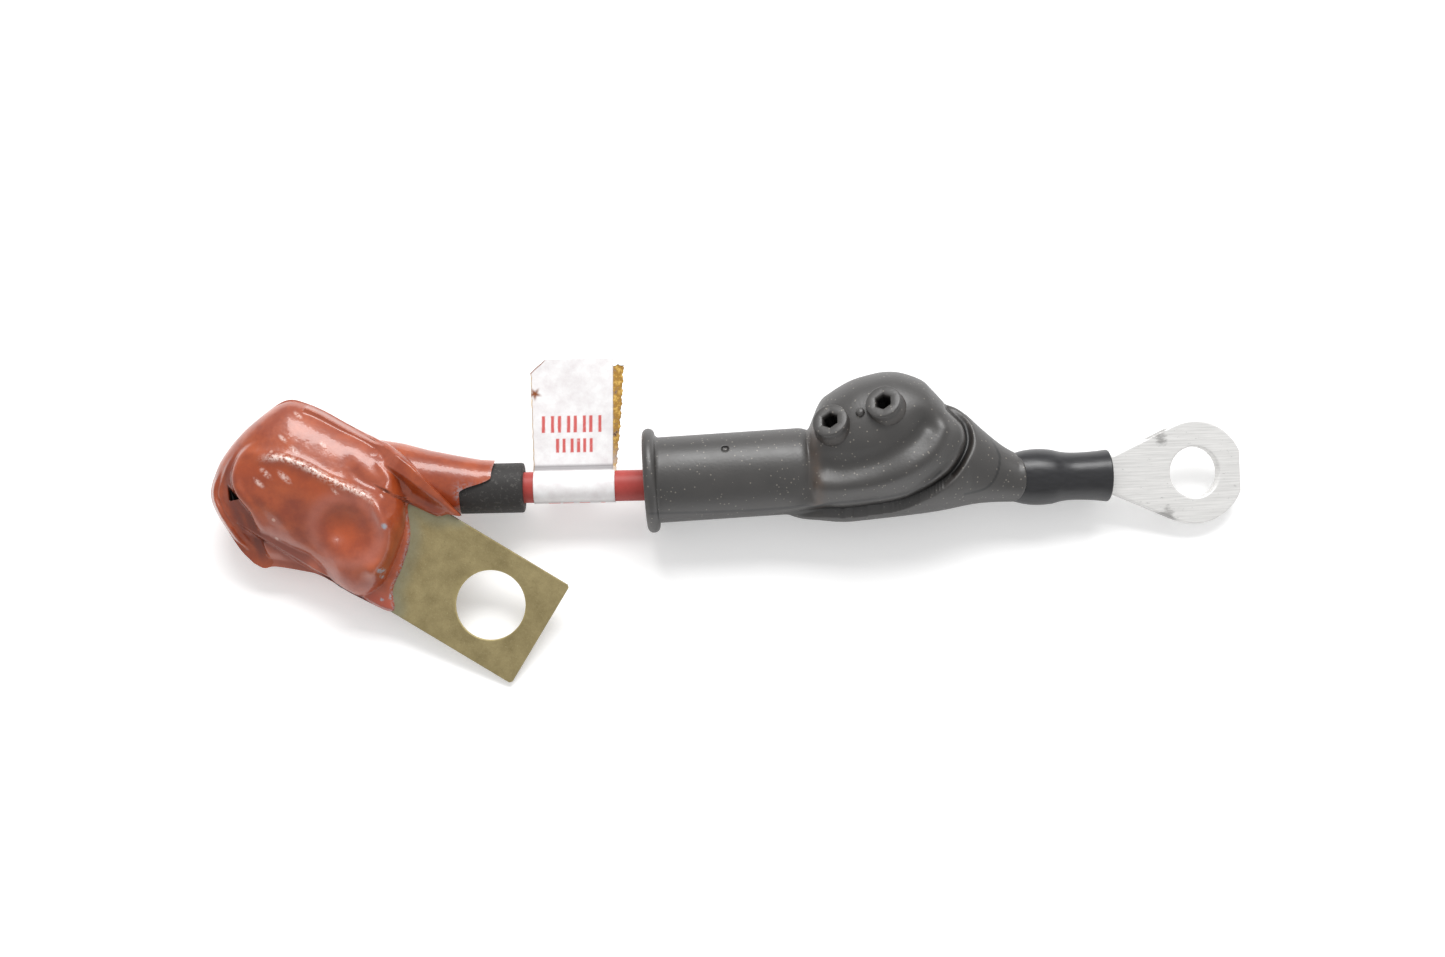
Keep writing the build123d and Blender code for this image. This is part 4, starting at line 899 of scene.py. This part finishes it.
# Brushed tin is pale and silky, with fine lines along the lug. Sizes here are millimetres of the piece's own
# along and across: lines 10 mm long and 0.3 mm apart, and scuffs 2 mm by 0.8 mm.
tinned, tree, shader = new_material("brushed tinned copper", linear("E8E7E5"), 0.45, Metallic=0.35)
along, across, edge = (
    add_node(tree, "Attribute", {}, attribute_name=field).outputs["Fac"]
    for field in ("along", "across", "worn")
)
lines = add_node(tree, "CombineXYZ", {0: along, 1: across}).outputs[0]
drawn = add_node(tree, "Mapping", {"Vector": lines, "Scale": (0.10, 3.2, 1.0)}).outputs[0]
brush = add_node(tree, "TexNoise", {"Vector": drawn, "Scale": 1.0, "Detail": 6.0, "Roughness": 0.7}).outputs[0]
wide = add_node(tree, "Mapping", {"Vector": lines, "Scale": (0.22, 0.55, 1.0)}).outputs[0]
scuff = add_node(tree, "TexNoise", {"Vector": wide, "Scale": 2.2, "Detail": 9.0, "Roughness": 0.75}).outputs[0]
scuffed = add_node(tree, "MapRange", {"Value": scuff, 1: 0.60, 2: 0.68, 4: 0.75}).outputs[0]
bitten = add_node(tree, "Math", {0: edge, 1: scuff}, operation="MULTIPLY").outputs[0]
bitten = add_node(tree, "MapRange", {"Value": bitten, 1: 0.32, 2: 0.50, 4: 0.65}).outputs[0]
share = add_node(tree, "MapRange", {"Value": brush, 1: 0.36, 2: 0.64}).outputs[0]
tone = add_node(tree, "Mix", {0: share, 6: linear("DAD9D7"), 7: linear("F2F1EF")}, data_type="RGBA").outputs[2]
for amount, color in ((scuffed, "8C8B8A"), (bitten, "7C7A78")):
    tone = add_node(tree, "Mix", {0: amount, 6: tone, 7: linear(color)}, data_type="RGBA").outputs[2]
tree.links.new(tone, shader.inputs["Base Color"])
grooved = add_node(tree, "Bump", {"Height": brush, "Strength": 0.2, "Distance": 0.04 * millimetre})
tree.links.new(grooved.outputs[0], shader.inputs["Normal"])
lug_skin = turned(lead_points(*np.moveaxis(lug, -1, 0)), {"along": x, "across": y, "worn": worn}, True)
barrel_skin = turned(barrel, {"along": 0.0, "across": 0.0, "worn": 0.0}, True)
make_piece("ring_terminal", [lug_skin, barrel_skin], tinned)


# Terminal plate: sheared brass strip, punched with one bolt hole, its left end inside the coat. It is one
# skin of rings, as the lug is, and its two outer corners are clipped a little.
plate_start, plate_end, plate_wide, plate_thick = -8.0, 51.2, 21.4, 1.1
plate_low, plate_shift, plate_bore, bore_s = 3.27, -1.2, 6.55, 40.3
plate_clip, plate_rim = 0.45, 0.14
low_s, high_s, half_t = plate_start - bore_s, plate_end - bore_s, plate_wide / 2
outline = np.array([
    (high_s, plate_clip - half_t), (high_s, half_t - plate_clip), (high_s - plate_clip, half_t),
    (low_s, half_t), (low_s, -half_t), (high_s - plate_clip, -half_t),
])
corners = np.arctan2(outline[:, 1], outline[:, 0])
turn = np.unique(np.concatenate([np.linspace(-np.pi, np.pi, 420, endpoint=False), corners]))[None, :]
x, y, z = flat_skin(plate_bore, polar_reach(outline, turn), turn, 0.0, plate_thick, plate_rim, 30)
s, t = x + bore_s, y + plate_shift
plate_fields = {
    "along": s, "across": t, "band": 1 - ease(line_distance(s, t, right_side), 0.6, 3.2),
    "worn": 0.5 * (1 - ease(np.hypot(x, y) - plate_bore, 0.02, 0.2)),
}

# Aged brass is dull olive-brown, clouded and pitted, with brighter flecks, a bright ring at the punched
# hole and a grey band where the skin pulled back from it. Its clouds are 5 mm across and its grit 0.4 mm.
brass, tree, shader = new_material("aged brass", linear("8C8156"), 0.5, Metallic=0.55)
along, across, band, worn = (
    add_node(tree, "Attribute", {}, attribute_name=field).outputs["Fac"] for field in plate_fields
)
place = add_node(tree, "CombineXYZ", {0: along, 1: across}).outputs[0]
cloud = add_node(tree, "TexNoise", {"Vector": place, "Scale": 0.20, "Detail": 7.0, "Roughness": 0.7}).outputs[0]
grit = add_node(tree, "TexNoise", {"Vector": place, "Scale": 2.6, "Detail": 7.0, "Roughness": 0.8}).outputs[0]
fleck = add_node(tree, "MapRange", {"Value": grit, 1: 0.56, 2: 0.70, 4: 0.75}).outputs[0]
pit = add_node(tree, "MapRange", {"Value": grit, 1: 0.42, 2: 0.30, 4: 0.7}).outputs[0]
banded = add_node(tree, "Math", {0: band, 1: cloud}, operation="MULTIPLY").outputs[0]
share = add_node(tree, "MapRange", {"Value": cloud, 1: 0.33, 2: 0.67}).outputs[0]
tone = add_node(tree, "Mix", {0: share, 6: linear("8A7C55"), 7: linear("AA9B70")}, data_type="RGBA").outputs[2]
for amount, color in ((fleck, "BFB68C"), (pit, "514A33"), (banded, "8A8F7E"), (worn, "D9C88E")):
    tone = add_node(tree, "Mix", {0: amount, 6: tone, 7: linear(color)}, data_type="RGBA").outputs[2]
tree.links.new(tone, shader.inputs["Base Color"])
pitted = add_node(tree, "Bump", {"Height": grit, "Strength": 0.4, "Distance": 0.08 * millimetre})
tree.links.new(pitted.outputs[0], shader.inputs["Normal"])
make_piece("terminal_plate", [turned(plate_points(s, t, plate_low + z), plate_fields, True)], brass)


# Wire insulation: extruded red PVC, matt and smeared with a little dust. It and the parts shut inside keep
# their CAD shapes.
red_pvc, tree, shader = new_material("red PVC", linear("A23530"), 0.5)
place = add_node(tree, "TexCoord", {}).outputs["Object"]
smear = add_node(tree, "TexNoise", {"Vector": place, "Scale": repeats(3.333), "Detail": 5.0, "Roughness": 0.65})
smear = smear.outputs[0]
tone = add_node(tree, "Mix", {0: smear, 6: linear("9A2E26"), 7: linear("C8504A")}, data_type="RGBA").outputs[2]
tree.links.new(tone, shader.inputs["Base Color"])

# Parts shut inside the coat and the sleeves, unseen in the photo: copper core and ferrule, the strip that
# melts, its spacer of pressed fibre, and brass rivets.
hidden = {
    "wire_strands": new_material("bare copper", linear("B66A3C"), 0.35, Metallic=1.0)[0],
    "wire_ferrule": new_material("crimped copper", linear("C47A52"), 0.35, Metallic=1.0)[0],
    "fuse_strip": new_material("fusible copper alloy", linear("C9A56A"), 0.4, Metallic=1.0)[0],
    "fuse_block": new_material("pressed fibre board", linear("D9CFB4"), 0.75)[0],
    "plate_rivet": new_material("rivet brass", linear("B89A55"), 0.4, Metallic=1.0)[0],
}
hidden["ferrule_rivet"] = hidden["plate_rivet"]
for node, material in {"wire_insulation": red_pvc, **hidden}.items():
    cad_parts[node].data.materials.clear()
    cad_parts[node].data.materials.append(material)


# Table: a plain pale sheet under the lead. It shows white to the camera and in reflections, and keeps the
# soft shadow.
table_size = 6.0
table_lift = 0.31
bpy.ops.mesh.primitive_plane_add(size=table_size)
table = bpy.context.object
table.name = "table"
paper = bpy.data.materials.new("matt white paper")
paper.use_nodes = True
tree = paper.node_tree
tree.nodes.remove(tree.nodes["Principled BSDF"])
matt = add_node(tree, "BsdfDiffuse", {"Color": linear("F0F0F0")})
rays = add_node(tree, "LightPath", {}).outputs
seen = rays["Is Camera Ray"]
for ray in ("Is Glossy Ray", "Is Transmission Ray"):
    seen = add_node(tree, "Math", {0: seen, 1: rays[ray]}, operation="MAXIMUM").outputs[0]
lift = add_node(tree, "Math", {0: seen, 1: table_lift}, operation="MULTIPLY")
glow = add_node(tree, "Emission", {"Color": linear("FFFFFF"), "Strength": lift.outputs[0]})
both = add_node(tree, "AddShader", {0: matt.outputs[0], 1: glow.outputs[0]})
tree.links.new(both.outputs[0], tree.nodes["Material Output"].inputs["Surface"])
table.data.materials.append(paper)

# Light: a wide soft box behind and above the lead, with an even white room round it.
box_reach, box_rise, box_side = 0.75, np.radians(54.0), 0.05
box_width, box_height, box_power = 0.60, 0.30, 5.0
room_light = 0.62
soft_box = bpy.data.objects.new("soft_box", bpy.data.lights.new("soft_box", "AREA"))
soft_box.data.shape = "RECTANGLE"
soft_box.data.size = box_width
soft_box.data.size_y = box_height
soft_box.data.energy = box_power
soft_box.location = (box_side, box_reach * np.cos(box_rise), box_reach * np.sin(box_rise))
soft_box.rotation_euler = (-soft_box.location).to_track_quat("-Z", "Y").to_euler()
bpy.context.scene.collection.objects.link(soft_box)

room = bpy.data.worlds.new("white room")
bpy.context.scene.world = room
room.use_nodes = True
room.node_tree.nodes["Background"].inputs["Color"].default_value = linear("FFFFFF")
room.node_tree.nodes["Background"].inputs["Strength"].default_value = room_light

# Camera: looks square at the lead's face, 70 degrees above the table.
camera_distance = 381.3
aim = Vector(lead_points(-0.475, 1.045, 0.0).tolist())
toward = Vector((0.0, -np.sin(roll), np.cos(roll)))
camera = bpy.data.objects.new("camera", bpy.data.cameras.new("camera"))
camera.data.lens = 50.0
camera.data.sensor_width = 36.0
camera.data.clip_start = 0.01
camera.location = aim + toward * camera_distance * millimetre
camera.rotation_euler = toward.to_track_quat("Z", "Y").to_euler()
bpy.context.scene.collection.objects.link(camera)
bpy.context.scene.camera = camera
bpy.context.scene.view_settings.view_transform = "Standard"
